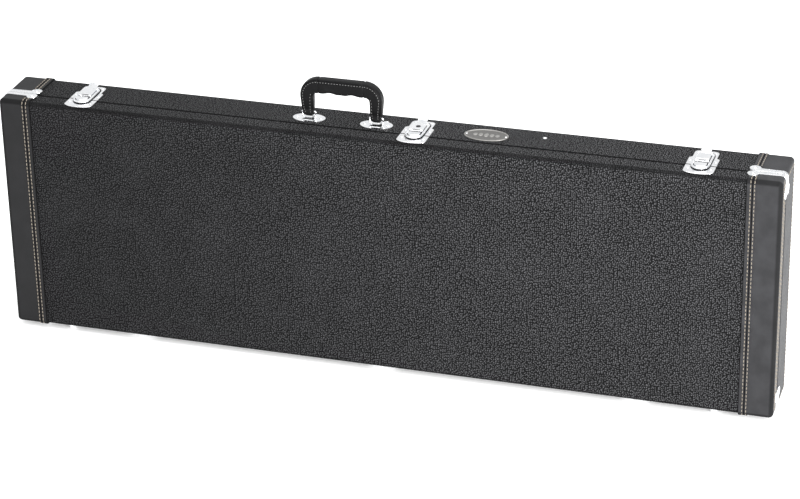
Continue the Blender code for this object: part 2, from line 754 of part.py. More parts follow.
def hinge_leaf(x, outward):
    """Leaf under one half. The body's has the two outer knuckles and the lid's the middle one."""
    axis = (SEAM, BOTTOM - HINGE_DROP)
    low = BOTTOM - GAP - HINGE_LEAF
    high = BOTTOM - GAP
    half = HINGE_LENGTH / 2
    inner = HINGE_KNUCKLE / 2
    near, far = sorted((SEAM + outward * HINGE_LEAF_START, SEAM + outward * HINGE_LEAF_REACH))
    leaf = block((x - half, near, low), (x + half, far, high))
    if outward > 0:
        spans = [(-half, -inner - HINGE_KNUCKLE_GAP), (inner + HINGE_KNUCKLE_GAP, half)]
    else:
        spans = [(-inner, inner)]
    for start, end in spans:
        leaf = union(leaf, rod(axis, HINGE_BARREL, 0, x + start, x + end, 16))
        arm_low, arm_high = sorted((SEAM, SEAM + outward * (HINGE_LEAF_START + HINGE_LEAF)))
        leaf = union(leaf, block((x + start, arm_low, low), (x + end, arm_high, high - FACE_STEP)))
    return cut(leaf, rod(axis, HINGE_PIN + RUNNING_GAP, 0, x - HINGE_LENGTH, x + HINGE_LENGTH, 12))


def hinge_pin(x):
    half = HINGE_LENGTH / 2
    return rod((SEAM, BOTTOM - HINGE_DROP), HINGE_PIN, 0, x - half, x + half, 12)


def side_pad(level):
    """Foam block beside the neck, cut back for the headstock and rounded where it meets the body recess."""
    depth_low = SEAM + PAD_BELOW_RIM
    depth_high = PAD_FRONT - GAP
    wall_z = CASE_HEIGHT / 2 - WALL - GAP
    end_x = HALF - WALL - GAP
    neck = NECK_CHANNEL / 2
    head = HEAD_CHANNEL / 2
    outline = [(end_x, wall_z), (PAD_START_X, wall_z)]
    outline += arc((PAD_START_X + BOUT_CORNER, neck + BOUT_CORNER), BOUT_CORNER, 180, 270, 6)
    outline += [(HEAD_START_X, neck), (HEAD_START_X + head - neck, head)]
    outline += [(end_x - HEAD_END_GAP, head), (end_x - HEAD_END_GAP, GAP), (end_x, GAP)]
    outline = [(px, MIDDLE_Z + level * pz) for px, pz in outline]
    return prism(outline, 1, depth_low, depth_high)


def pocket_box(grow, near_y, far_y):
    """Box round the accessory pocket, grown sideways, between two depths."""
    low_z = BOTTOM + WALL + POCKET_WALL
    high_z = MIDDLE_Z - NECK_CHANNEL / 2 - POCKET_BORDER
    return block(
        (POCKET_START_X - grow, near_y, low_z - grow),
        (POCKET_START_X + POCKET_LENGTH + grow, far_y, high_z + grow),
    )


def neck_cradle():
    """Padded block across the neck channel, with a notch that the neck lies in."""
    depth_high = PAD_FRONT - GAP
    depth_low = depth_high - CRADLE_HEIGHT
    half = NECK_CHANNEL / 2 - GAP
    notch = CRADLE_NOTCH_HALF
    floor = CRADLE_NOTCH_FLOOR_HALF
    outline = [(depth_high, MIDDLE_Z - half), (depth_high, MIDDLE_Z + half), (depth_low, MIDDLE_Z + half)]
    outline += [(depth_low, MIDDLE_Z + notch), (depth_low + CRADLE_NOTCH, MIDDLE_Z + floor)]
    outline += [(depth_low + CRADLE_NOTCH, MIDDLE_Z - floor), (depth_low, MIDDLE_Z - notch)]
    outline += [(depth_low, MIDDLE_Z - half)]
    return prism(outline, 0, CRADLE_X, CRADLE_X + CRADLE_LENGTH)


def build():
    clear_scene()
    vinyl = finish_material("pebbled_vinyl", (0.022, 0.022, 0.024), 0.45)
    leatherette = finish_material("smooth_leatherette", (0.035, 0.035, 0.038), 0.5)
    leather = finish_material("handle_leather", (0.012, 0.012, 0.013), 0.45)
    chrome = finish_material("chrome", (0.80, 0.80, 0.82), 0.15, 1.0)
    lock_steel = finish_material("lock_steel", (0.35, 0.35, 0.37), 0.35, 1.0)
    pewter = finish_material("badge_pewter", (0.30, 0.29, 0.28), 0.35, 1.0)
    plush = finish_material("plush_lining", (0.015, 0.014, 0.016), 0.95)

    lid_pivot = pivot_empty("lid_pivot", (0, SEAM, BOTTOM - HINGE_DROP))
    halves = {
        "lid": (-1, SEAM - SEAM_GAP / 2, FRONT, lid_pivot),
        "body": (1, SEAM + SEAM_GAP / 2, BACK, None),
    }
    for half, (outward, rim, face, pivot) in halves.items():
        make_shell(half, outward, rim, face, vinyl, pivot)
        for side, sign in SIDES.items():
            cover = end_cover(half, outward, rim, face, sign)
            place(f"{half}_{side}_end_cover", cover, leatherette, pivot)
            for height, level in (("top", 1), ("bottom", -1)):
                guard = corner_guard(sign, level, outward, rim)
                place(f"{half}_{height}_{side}_guard", guard, chrome, pivot)
            foot_y = face - outward * FOOT_FROM_FACE
            name = "front" if half == "lid" else "rear"
            place(f"foot_{name}_{side}", foot(sign * (HALF - FOOT_FROM_END), foot_y), chrome, pivot)

    for name, x in (("left", -HINGE_SPREAD), ("middle", 0.0), ("right", HINGE_SPREAD)):
        place(f"hinge_{name}_body_leaf", hinge_leaf(x, 1), chrome)
        place(f"hinge_{name}_lid_leaf", hinge_leaf(x, -1), chrome, lid_pivot)
        place(f"hinge_{name}_pin", hinge_pin(x), chrome)

    for name, x in LATCHES.items():
        lever_pivot = pivot_empty(
            f"latch_{name}_lever_pivot", (x, SEAM + LEVER_PIVOT_Y, TOP + LEVER_PIVOT_Z)
        )
        loop_pivot = pivot_empty(
            f"latch_{name}_loop_pivot", (x, SEAM + LOOP_PIVOT_Y, TOP + LOOP_Z), lever_pivot
        )
        locking = name == "middle"
        place(f"latch_{name}_strike", strike_plate(x), chrome, lid_pivot)
        place(f"latch_{name}_base", latch_base(x), chrome)
        place(f"latch_{name}_lever", latch_lever(x, locking), chrome, lever_pivot)
        place(f"latch_{name}_loop", latch_loop(x), chrome, loop_pivot)
        if locking:
            plug_pivot = pivot_empty("lock_plug_pivot", (x, SEAM + LOCK_Y, TOP + LEVER_TOP), lever_pivot)
            place("lock_plug", lock_plug(x), lock_steel, plug_pivot)

    handle_pivot = pivot_empty(
        "handle_pivot", (HANDLE_X, SEAM + HANDLE_FROM_SEAM, TOP + HANDLE_PIVOT_Z)
    )
    place("handle_grip", handle_grip(), leather, handle_pivot)
    for side, sign in SIDES.items():
        x = HANDLE_X + sign * HANDLE_SPACING / 2
        place(f"handle_{side}_ring", handle_ring(x), chrome, handle_pivot)
        place(f"handle_{side}_plate", oval_plate(x), chrome)
    place("badge", badge(), pewter)

    inner_x = HALF - WALL - GAP
    inner_low = BOTTOM + WALL + GAP
    inner_high = TOP - WALL - GAP
    lid_back = FRONT + WALL + GAP
    back_pad = block((-inner_x, PAD_FRONT, inner_low), (inner_x, PAD_BACK, inner_high))
    place("body_back_pad", back_pad, plush)
    lid_pad = block((-inner_x, lid_back, inner_low), (inner_x, lid_back + LID_PAD, inner_high))
    place("lid_pad", lid_pad, plush, lid_pivot)
    place("body_upper_pad", side_pad(1), plush)
    rim_y = SEAM + PAD_BELOW_RIM
    ledge_y = rim_y + POCKET_LID + GAP
    floor_y = PAD_FRONT - GAP - POCKET_FLOOR
    lower_pad = cut(
        side_pad(-1), pocket_box(0, rim_y - WALL, floor_y), pocket_box(POCKET_LEDGE, rim_y - WALL, ledge_y)
    )
    place("body_lower_pad", lower_pad, plush)
    place("accessory_pocket_lid", pocket_box(POCKET_LEDGE - GAP, rim_y, rim_y + POCKET_LID), plush)
    place("neck_cradle", neck_cradle(), plush)


build()
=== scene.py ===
from math import cos, hypot, pi, radians, sin, sqrt

import bmesh
import bpy
from mathutils import Matrix, Vector, noise


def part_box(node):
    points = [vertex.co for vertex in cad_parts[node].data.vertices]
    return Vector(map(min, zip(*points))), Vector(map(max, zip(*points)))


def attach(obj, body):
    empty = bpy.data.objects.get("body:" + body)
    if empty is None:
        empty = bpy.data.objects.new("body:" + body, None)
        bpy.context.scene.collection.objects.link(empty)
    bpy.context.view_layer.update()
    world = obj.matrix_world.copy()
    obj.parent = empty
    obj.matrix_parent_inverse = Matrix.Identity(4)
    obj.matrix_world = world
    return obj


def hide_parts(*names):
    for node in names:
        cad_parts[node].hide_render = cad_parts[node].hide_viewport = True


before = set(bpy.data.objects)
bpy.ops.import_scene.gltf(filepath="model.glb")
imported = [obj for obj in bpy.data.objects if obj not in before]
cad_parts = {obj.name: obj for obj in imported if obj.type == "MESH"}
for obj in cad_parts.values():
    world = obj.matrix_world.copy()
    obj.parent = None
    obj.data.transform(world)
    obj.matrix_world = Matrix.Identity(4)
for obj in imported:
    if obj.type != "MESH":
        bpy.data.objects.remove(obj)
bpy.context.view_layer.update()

MM = 0.001


# ---- Plywood shells ----
# The body and the lid are shallow plywood trays. Each is wrapped in one sheet of black pebbled vinyl, which is
# glued round the outer edges and over the rim. Inside the rim a flocked lining starts.

panel_low, panel_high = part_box("body_back_panel")
LENGTH_HALF = panel_high.x
BOTTOM, TOP = panel_low.z, panel_high.z
WALL = panel_high.y - panel_low.y
EDGE = 5.5 * MM
RIM_ROUND = 2.2 * MM
INSIDE_ROUND = 2.5 * MM
HALVES = {
    "body": (1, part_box("body_top_wall")[0].y, panel_high.y),
    "lid": (-1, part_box("lid_top_wall")[1].y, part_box("lid_front_panel")[0].y),
}
SEAM = (HALVES["body"][1] + HALVES["lid"][1]) / 2
SIDES = {"left": -1, "right": 1}
LEVELS = {"top": 1, "bottom": -1}


class Wire:
    """A node socket that can be written into sums: 1 - wire adds its own Math node."""

    def __init__(self, tree, socket=None):
        self.tree, self.socket = tree, socket

    def node(self, kind, inputs=(), output=0, **settings):
        """Adds a node, sets its settings first and then its sockets, and returns one of its outputs."""
        node = self.tree.nodes.new(kind)
        for name, value in settings.items():
            setattr(node, name, value)
        for name, value in dict(inputs).items():
            self.feed(node.inputs[name], value)
        return Wire(self.tree, node.outputs[output])

    def feed(self, socket, value):
        if isinstance(value, Wire):
            self.tree.links.new(value.socket, socket)
        else:
            socket.default_value = value

    def sum(self, operation, first, second=0.5):
        return self.node("ShaderNodeMath", {0: first, 1: second}, operation=operation)

    def __add__(self, other):
        return self.sum("ADD", self, other)

    def __sub__(self, other):
        return self.sum("SUBTRACT", self, other)

    def __rsub__(self, other):
        return self.sum("SUBTRACT", other, self)

    def __mul__(self, other):
        return self.sum("MULTIPLY", self, other)

    __radd__, __rmul__ = __add__, __mul__

    def absolute(self):
        return self.sum("ABSOLUTE", self)

    def lesser(self, other):
        return self.sum("MINIMUM", self, other)

    def greater(self, other):
        return self.sum("MAXIMUM", self, other)

    def ramp(self, low, high, to_low=0.0, to_high=1.0):
        """A smooth step of this value, from to_low at low to to_high at high."""
        ends = {"Value": self, "From Min": low, "From Max": high, "To Min": to_low, "To Max": to_high}
        return self.node("ShaderNodeMapRange", ends, interpolation_type="SMOOTHSTEP")

    def tint(self, dark, light):
        """The colour that runs from dark where this value is 0 to light where it is 1."""
        dark, light = (colour if isinstance(colour, Wire) else (*colour, 1) for colour in (dark, light))
        return self.node("ShaderNodeMix", {0: self, 6: dark, 7: light}, 2, data_type="RGBA")

    def part(self, axis):
        """The X, Y or Z of this vector."""
        return self.node("ShaderNodeSeparateXYZ", {"Vector": self}, axis)

    def vector(self, x=0.0, y=0.0, z=0.0):
        return self.node("ShaderNodeCombineXYZ", {"X": x, "Y": y, "Z": z})

    def combined(self, operation, other):
        """This vector and another, put together by a vector operation."""
        return self.node("ShaderNodeVectorMath", {0: self, 1: other}, operation=operation)

    def scaled(self, amount):
        return self.node("ShaderNodeVectorMath", {0: self, "Scale": amount}, operation="SCALE")


class Finish:
    """A material whose grain is worked out from the piece's own coordinates, and the slot it goes by."""

    def __init__(self, name, slot=None, **constants):
        self.slot = slot or name
        self.material = bpy.data.materials.new(name)
        self.material.use_nodes = True
        tree = self.material.node_tree
        self.shader = tree.nodes["Principled BSDF"]
        for socket, value in constants.items():
            self.shader.inputs[socket.replace("_", " ")].default_value = value
        self.place = Wire(tree).node("ShaderNodeTexCoord", output="Object")

    def noise(self, size, detail=2.0, place=None, output="Fac"):
        """Soft noise whose blotches are about size across."""
        inputs = {"Vector": place or self.place, "Scale": 1 / size, "Detail": detail}
        return self.place.node("ShaderNodeTexNoise", inputs, output)

    def cells(self, size, place=None, randomness=0.85, output="Distance", **settings):
        """Rounded cells whose middles are about size apart."""
        inputs = {"Vector": place or self.place, "Scale": 1 / size, "Randomness": randomness}
        return self.place.node("ShaderNodeTexVoronoi", inputs, output, **settings)

    def give(self, **wires):
        for socket, wire in wires.items():
            wire.feed(self.shader.inputs[socket.replace("_", " ")], wire)

    def emboss(self, *layers):
        """Lays bumps over each other. Each layer is a height, its depth in metres and its strength."""
        normal = None
        for height, depth, strength in layers:
            inputs = {"Height": height, "Distance": depth, "Strength": strength}
            if normal:
                inputs["Normal"] = normal
            normal = self.place.node("ShaderNodeBump", inputs)
        self.give(Normal=normal)


class Maker:
    """Gathers a mesh point by point. Points that coincide become one."""

    def __init__(self):
        self.bm = bmesh.new()
        self.points = {}

    def face(self, corners, finish=0):
        found = []
        for corner in corners:
            key = tuple(round(value * 1e6) for value in corner)
            if key not in self.points:
                self.points[key] = self.bm.verts.new(corner)
            if self.points[key] not in found:
                found.append(self.points[key])
        if len(found) > 2 and not self.bm.faces.get(found):
            self.bm.faces.new(found).material_index = finish

    def skin(self, rings, closed=True, looped=False, finish=0):
        """Joins each ring of points to the next. A looped skin joins its last ring to its first."""
        pairs = list(zip(rings, rings[1:])) + ([(rings[-1], rings[0])] if looped else [])
        for near, far in pairs:
            for i in range(len(near) - (0 if closed else 1)):
                j = (i + 1) % len(near)
                self.face((near[i], near[j], far[j], far[i]), finish)

    def solid(self, rings, finish=0):
        """A skin over the rings with a face over each end."""
        self.skin(rings, finish=finish)
        self.face(rings[0], finish)
        self.face(rings[-1], finish)


def put(name, data):
    """Adds an object to the scene."""
    thing = bpy.data.objects.new(name, data)
    bpy.context.scene.collection.objects.link(thing)
    return thing


def mesh_from(name, bm):
    """Ends a gathered mesh, with its faces turned outwards."""
    bmesh.ops.recalc_face_normals(bm, faces=bm.faces)
    mesh = bpy.data.meshes.new(name)
    bm.to_mesh(mesh)
    bm.free()
    return mesh


def enlist(piece, body, finish, *nodes):
    """The piece rides on its body and stands for CAD nodes, which it hides. The finish is not used."""
    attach(piece, body)
    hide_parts(*nodes)
    return piece


def settle(name, bm, finish, body, *nodes, sharp=40, rounded=0.0, hard=True, lining=None):
    """Turns a gathered mesh into a piece, with sharp edges rounded off by the given width."""
    mesh = mesh_from(name, bm)
    for each in [finish, lining] if lining else [finish]:
        mesh.materials.append(each.material)
    mesh.shade_smooth()
    piece = put(name, mesh)
    if hard:
        mesh.set_sharp_from_angle(angle=radians(sharp))
    if rounded:
        bevel = piece.modifiers.new("rounded_edges", "BEVEL")
        bevel.width, bevel.segments, bevel.miter_outer = rounded, 2, "MITER_ARC"
        bevel.limit_method, bevel.angle_limit = "ANGLE", radians(sharp)
    if hard:
        piece.modifiers.new("weighted_normals", "WEIGHTED_NORMAL").keep_sharp = not rounded
    return enlist(piece, body, finish, *nodes)


def quarter(start, steps=6):
    """Angles of a quarter turn, in radians."""
    return [radians(start + 90 * i / steps) for i in range(steps + 1)]


def case_outline(inset, radius):
    """Rounded rectangle in x and z, inset from the outer faces of the case."""
    reach = inset + radius
    points = []
    for sign_x, sign_z, start in ((1, 1, 0), (-1, 1, 90), (-1, -1, 180), (1, -1, 270)):
        x = sign_x * (LENGTH_HALF - reach)
        z = (TOP - reach) if sign_z > 0 else (BOTTOM + reach)
        points += [(x + radius * cos(a), z + radius * sin(a)) for a in quarter(start)]
    return points


pebbled_vinyl = Finish("pebbled_vinyl", Specular_IOR_Level=0.16)
across, depthways, upright = (pebbled_vinyl.place.part(axis) for axis in "XYZ")
unrolled = across.vector(across, depthways + upright)
flat_cells = {"voronoi_dimensions": "2D"}
drift = pebbled_vinyl.noise(7 * MM, 1.0, unrolled, "Color").combined("SUBTRACT", (0.5, 0.5, 0.5))
unrolled = unrolled.combined("ADD", drift.scaled(2.2 * MM))
pebble_middles = pebbled_vinyl.cells(3.0 * MM, unrolled, 0.7, **flat_cells)
pebbles = 1 - pebble_middles.ramp(0.1, 0.6)
# The pale colour on the pebble tops is a painted highlight, stronger on some pebbles than on others.
highlight_per_pebble = pebbled_vinyl.cells(3.0 * MM, unrolled, 0.7, "Color", **flat_cells)
highlight_per_pebble = highlight_per_pebble.part("X").ramp(0.0, 1.0, 0.5, 1.0)
# The painted crest highlights grow brighter towards the right end, where the light falls, and dimmer to the left.
lit_from_right = across.ramp(-0.9 * LENGTH_HALF, 0.5 * LENGTH_HALF, 0.5, 1.15)
crest_highlights = (1 - pebble_middles.ramp(0.0, 0.46)) * highlight_per_pebble * lit_from_right
pores = pebbled_vinyl.noise(0.5 * MM, 2.0)
scuffs = pebbled_vinyl.noise(60 * MM, 4.0).ramp(0.42, 0.66)
# Painted shade along the seam between lid and body: the colour goes near black within a few millimetres of it.
clear_of_seam_shade = (depthways - SEAM).absolute().ramp(1.6 * MM, 3.2 * MM)
# Along the rounded edges the pebble highlights fade to a quarter: partly the vinyl stretched smoother there, partly
# painted shade.
from_faces = (depthways - HALVES["lid"][2]).absolute().lesser((depthways - HALVES["body"][2]).absolute())
from_ends = (TOP - upright).absolute().lesser((upright - BOTTOM).absolute())
edge_stretch_and_shade = from_faces.greater(from_ends).ramp(0.55 * EDGE, 1.25 * EDGE, 0.25, 1.0)
# Painted highlights on the crests, with a little real scuffing: the colour runs from near black up to the pale
# highlight.
lit_crests = (crest_highlights * edge_stretch_and_shade * 0.93 + scuffs * 0.03) * clear_of_seam_shade
pebbled_vinyl.give(
    Base_Color=lit_crests.tint((0.001, 0.001, 0.0013), (0.12, 0.12, 0.126)),
    Roughness=0.8 - (pebbles * 0.4 - scuffs * 0.06) * clear_of_seam_shade * edge_stretch_and_shade,
)
pebbled_vinyl.emboss((pebbled_vinyl.noise(90 * MM, 2.0), 1.2 * MM, 0.35), (pebbles + pores * 0.1, 1.0 * MM, 1.0))

flocking = Finish("flocking", Roughness=0.95, Sheen_Weight=0.5, Sheen_Roughness=0.5)
flock = flocking.noise(1.1 * MM, 3.0).ramp(0.35, 0.65)
flocking.give(Base_Color=flock.tint((0.006, 0.006, 0.007), (0.018, 0.017, 0.019)))
flocking.emboss((flock, 0.4 * MM, 0.6))

for half, (outward, rim, face) in HALVES.items():
    depth = abs(face - rim)
    tray = Maker()

    def ring(from_rim, inset, radius):
        return [(x, rim + outward * from_rim, z) for x, z in case_outline(inset, radius)]

    inside = [ring(depth - WALL, WALL, INSIDE_ROUND), ring(1.0 * MM, WALL, INSIDE_ROUND)]
    tray.skin(inside, finish=1)
    tray.face(inside[0], 1)
    outside = [inside[1], ring(0.3 * MM, WALL - 0.3 * MM, INSIDE_ROUND), ring(0, WALL - 1.0 * MM, INSIDE_ROUND)]
    for a in quarter(0, 4):
        inset = RIM_ROUND * (1 - sin(a))
        outside.append(ring(RIM_ROUND * (1 - cos(a)), inset, EDGE - inset))
    for a in quarter(0, 8):
        inset = EDGE * (1 - cos(a))
        outside.append(ring(depth - EDGE + EDGE * sin(a), inset, EDGE - inset))
    tray.skin(outside)
    tray.face(outside[-1])
    panel = "lid_front_panel" if half == "lid" else "body_back_panel"
    walls = [f"{half}_{place}_wall" for place in ("left", "right", "top", "bottom")]
    settle(f"{half}_vinyl_shell", tray.bm, pebbled_vinyl, half, panel, *walls, lining=flocking)


# ---- End covers ----
# Smooth leatherette is glued over each end of each half, in one sheet that also covers the end face. Its inner
# edge carries a raised band, a folded strip that is sewn down with two rows of beige thread.

COVER_REACH = 51 * MM
COVER_SKIN = 1.3 * MM
UNDER = 0.1 * MM
BAND_CLEAR = 18.1 * MM
BAND_RAMP = 2.2 * MM
GROOVE_AT = 9.2 * MM
RIM_ROLL = 1.5 * MM
END_ROWS = {"body": (6.5 * MM,), "lid": (9.0 * MM, 19.5 * MM)}
# Across the band from its inner edge: distance, height of the sheet, height of the band on it, all in mm.
BAND_PROFILE = (
    (0.0, 0.1, 0.0), (0.0, 0.8, 0.35), (0.2, 1.1, 0.85), (0.6, 1.25, 1.15), (1.3, 1.3, 1.3), (4.6, 1.3, 1.3),
    (5.1, 1.3, 1.1), (6.15, 1.3, 0.85), (7.2, 1.3, 1.1), (7.6, 1.3, 1.3), (8.5, 1.3, 1.3), (8.9, 1.3, 0.7),
    (9.2, 1.3, 0.25), (9.5, 1.3, 0.7), (9.9, 1.3, 1.3), (10.6, 1.3, 1.3), (11.0, 1.3, 1.1), (12.05, 1.3, 0.85),
    (13.1, 1.3, 1.0), (13.5, 1.3, 0.95), (13.9, 1.3, 0.55), (14.0, 1.3, 0.0), (15.5, 1.3, 0.0),
)

leatherette = Finish("smooth_leatherette", Specular_IOR_Level=0.22)
hide_cells = leatherette.cells(1.3 * MM, randomness=1.0, feature="DISTANCE_TO_EDGE").ramp(0.0, 0.22)
hide_folds = leatherette.noise(26 * MM, 4.0)
cover_side, cover_depth, cover_height = (leatherette.place.part(axis) for axis in "XYZ")
along_case = cover_side.absolute()
from_edge = along_case - (LENGTH_HALF - COVER_REACH)
# Painted shade in the creases: the colour goes dark at the band's inner edge, in the groove between the stitch rows
# and along the seam. These places are also made rougher.
outside_crease_shade = from_edge.ramp(0.3 * MM, 1.6 * MM) * (from_edge - GROOVE_AT).absolute().ramp(0.5 * MM, 1.4 * MM)
outside_crease_shade = outside_crease_shade * (cover_depth - SEAM).absolute().ramp(1.4 * MM, 3.0 * MM)
off_faces = (cover_depth - HALVES["lid"][2]).absolute().lesser((cover_depth - HALVES["body"][2]).absolute())
off_ends = (TOP - cover_height).absolute().lesser((cover_height - BOTTOM).absolute())
off_ends = off_ends.lesser((along_case - LENGTH_HALF).absolute())
# Painted shade on the rounded bends of the covers: the colour goes darker near the edges.
outside_bend_shade = off_faces.greater(off_ends).ramp(0.5 * EDGE, 1.2 * EDGE, 0.3, 1.0)
# A pale binding strip lies between the two rows on each end face of the lid.
binding_start, binding_end = END_ROWS["lid"]
binding = off_faces.ramp(binding_start, binding_start + 1 * MM)
binding = binding * off_faces.ramp(binding_end - 1 * MM, binding_end, 1.0, 0.0)
binding = binding * (LENGTH_HALF - along_case).ramp(-0.6 * MM, -0.2 * MM, 1.0, 0.0)
binding = binding * (SEAM - cover_depth).ramp(0.0, 1 * MM)
# The colour varies at random with the hide folds, and light is painted on: the covers go lighter towards the right
# end, where the light falls, and darker to the left.
tone_and_right_light = hide_folds.ramp(0.3, 0.7, 0.6, 1.0) * cover_side.ramp(-LENGTH_HALF, LENGTH_HALF, 0.3, 1.0)
plain = (tone_and_right_light * outside_crease_shade * outside_bend_shade).tint((0.0008, 0.0008, 0.001), (0.03, 0.03, 0.0325))
leatherette.give(
    Base_Color=binding.tint(plain, (0.11, 0.1, 0.088)),
    Roughness=0.92 - (0.42 + hide_cells * 0.07 - hide_folds.ramp(0.35, 0.65) * 0.05) * outside_crease_shade * outside_bend_shade,
)
leatherette.emboss((hide_folds, 0.8 * MM, 0.25), (hide_cells, 0.12 * MM, 0.35))


def half_walk(outward, rim, face):
    """Steps round one half from the rim over the top, down the broad face and back to the rim below.
    Each is a place on the shell (y, z), the way out of it, and how far it is from the rim."""
    reach = abs(face - rim) - EDGE
    near = [0.0, 0.4 * MM, 0.9 * MM, 1.5 * MM, BAND_CLEAR]
    near += [BAND_CLEAR + BAND_RAMP * i / 6 for i in range(1, 7)] + [reach]
    half = []
    for level, edge_z in ((1, TOP), (-1, BOTTOM)):
        part = [(rim + outward * d, edge_z, 0.0, level, d) for d in near]
        for a in quarter(0, 8)[1:]:
            out_y, out_z = outward * sin(a), level * cos(a)
            part.append((
                rim + outward * reach + EDGE * out_y, edge_z - level * EDGE + EDGE * out_z, out_y, out_z, reach
            ))
        half.append(part)
    return half[0] + half[1][::-1]


def band_share(from_rim):
    """How much of the band's height there is: none under the guards, all of it past them."""
    share = min(max((from_rim - BAND_CLEAR) / BAND_RAMP, 0), 1)
    return share * share * (3 - 2 * share)


def rim_share(from_rim):
    """How much of the sheet's height there is: it is rolled down towards the rim."""
    share = min(from_rim / RIM_ROLL, 1)
    return 0.15 + 0.85 * sqrt(share * (2 - share))


def off_shell(step, x, height):
    y, z, out_y, out_z, _ = step
    return (x, y + out_y * height, z + out_z * height)


for half, (outward, rim, face) in HALVES.items():
    walk = half_walk(outward, rim, face)
    for side, sign in SIDES.items():
        start = LENGTH_HALF - COVER_REACH
        cover = Maker()
        rings = []
        for step in walk:
            share, rolled = band_share(step[4]), rim_share(step[4])
            outer = [
                off_shell(step, sign * (start + x * MM), (sheet * rolled + band * share) * MM)
                for x, sheet, band in BAND_PROFILE
            ]
            inner = []
            for skin, points in ((COVER_SKIN * rolled, outer), (UNDER, inner)):
                for a in quarter(0, 6):
                    x = LENGTH_HALF - EDGE + (EDGE + skin) * sin(a)
                    points.append(off_shell(step, sign * x, (EDGE + skin) * cos(a) - EDGE))
            rings.append((outer, inner))
        sheets = [outer + inner[::-1] for outer, inner in rings]
        break_at = len(rings[0][0])
        for near, far in zip(sheets, sheets[1:]):
            cover.skin([near[:break_at], far[:break_at]], closed=False)
            cover.skin([near[break_at:] + near[:1], far[break_at:] + far[:1]], closed=False)
        outer_end, inner_end = ([sheet[-1] for sheet in layer] for layer in zip(*rings))
        for end in (sheets[0], sheets[-1], outer_end, inner_end):
            cover.face(end)
        cover.face((outer_end[0], outer_end[-1], inner_end[-1], inner_end[0]))
        name = f"{half}_{side}_end_cover"
        settle(f"{name}_leatherette", cover.bm, leatherette, half, name)


# ---- Stitches ----
# Waxed beige thread, sewn by machine: two rows on each band, and rows along the edges of each end face.
# Each stitch is a short plump length of thread that sinks into the leatherette at both ends.

THREAD = 1.3 * MM
STITCH = 4.9 * MM
STITCH_PITCH = 6.4 * MM
STITCH_ROWS = (6.15 * MM, 12.05 * MM)
ROW_DEPTH = 0.9 * MM
END_ROW_START = 10.5 * MM
ROW_BEND = 3 * MM


def open_tree(name, **sizes):
    """Starts a Geometry Nodes tree with a named input for each size."""
    tree = bpy.data.node_groups.new(name, "GeometryNodeTree")
    tree.interface.new_socket("Geometry", in_out="INPUT", socket_type="NodeSocketGeometry")
    for size, value in sizes.items():
        tree.interface.new_socket(size, in_out="INPUT", socket_type="NodeSocketFloat").default_value = value
    tree.interface.new_socket("Geometry", in_out="OUTPUT", socket_type="NodeSocketGeometry")
    entry = tree.nodes.new("NodeGroupInput")
    return {socket.name: Wire(tree, socket) for socket in entry.outputs if socket.name}


def close_tree(points, one, turn, scale, finish):
    """Ends a tree: one mesh on each point, turned and scaled, as real and smooth meshes in one finish."""
    inputs = {"Points": points, "Instance": one, "Rotation": turn, "Scale": scale}
    many = one.node("GeometryNodeInstanceOnPoints", inputs)
    real = one.node("GeometryNodeRealizeInstances", {"Geometry": many})
    smooth = one.node("GeometryNodeSetShadeSmooth", {"Geometry": real})
    set_finish = one.node("GeometryNodeSetMaterial", {"Geometry": smooth, "Material": finish.material})
    exit_node = one.tree.nodes.new("NodeGroupOutput")
    one.tree.links.new(set_finish.socket, exit_node.inputs[0])
    return one.tree, finish


def grow(name, kind, seeds, sizes, body):
    """Runs a tree on seed points or lines, and keeps its result as one plain mesh that rides on a body."""
    tree, finish = kind
    *parts, attributes = seeds
    mesh = bpy.data.meshes.new(name)
    mesh.from_pydata(*parts)
    for attribute, values in attributes.items():
        layer = mesh.attributes.new(attribute, "FLOAT_VECTOR", "POINT")
        layer.data.foreach_set("vector", [number for value in values for number in value])
    seed = put(f"{name}_seed", mesh)
    modifier = seed.modifiers.new(tree.name, "NODES")
    modifier.node_group = tree
    for item in tree.interface.items_tree:
        if item.in_out == "INPUT" and item.name in sizes:
            modifier[item.identifier] = sizes[item.name]
    result = evaluated(seed)
    bpy.data.objects.remove(seed)
    result.name = name
    return enlist(put(name, result), body, finish)


def evaluated(thing):
    """An object's mesh with its modifiers applied."""
    graph = bpy.context.evaluated_depsgraph_get()
    return bpy.data.meshes.new_from_object(thing.evaluated_get(graph), depsgraph=graph)


def stitch_tree(name, finish):
    """Thread along lines: each line is cut into pitches, and a stitch lies along it in each."""
    sizes = open_tree(name, Pitch=STITCH_PITCH, Length=STITCH, Thickness=THREAD, Slant=0.12)
    line = sizes["Geometry"].node("GeometryNodeMeshToCurve", {"Mesh": sizes["Geometry"]})
    steps = line.node("GeometryNodeResampleCurve", {"Curve": line, "Length": sizes["Pitch"]}, mode="LENGTH")
    ball = line.node("GeometryNodeMeshUVSphere", {"Segments": 8, "Rings": 6, "Radius": 0.5})
    along = line.node("GeometryNodeInputTangent")
    turn = line.node("FunctionNodeAlignRotationToVector", {"Vector": along}, axis="Z")
    limits = {0: (-0.1, -0.1, -0.1), 1: (0.1, 0.1, 0.1), "Seed": 7}
    lean = line.node("FunctionNodeRandomValue", limits, data_type="FLOAT_VECTOR")
    leaned = line.node("FunctionNodeEulerToRotation", {"Euler": lean.scaled(sizes["Slant"] * 8)})
    turn = line.node(
        "FunctionNodeRotateRotation", {"Rotation": turn, "Rotate By": leaned}, rotation_space="LOCAL"
    )
    scale = line.vector(sizes["Thickness"], sizes["Thickness"], sizes["Length"])
    return close_tree(steps, ball, turn, scale, finish)


def lines_of(*paths):
    """Seed lines for a tree, from lists of points."""
    points, edges = [], []
    for path in paths:
        edges += [(len(points) + i, len(points) + i + 1) for i in range(len(path) - 1)]
        points += path
    return points, edges, [], {}


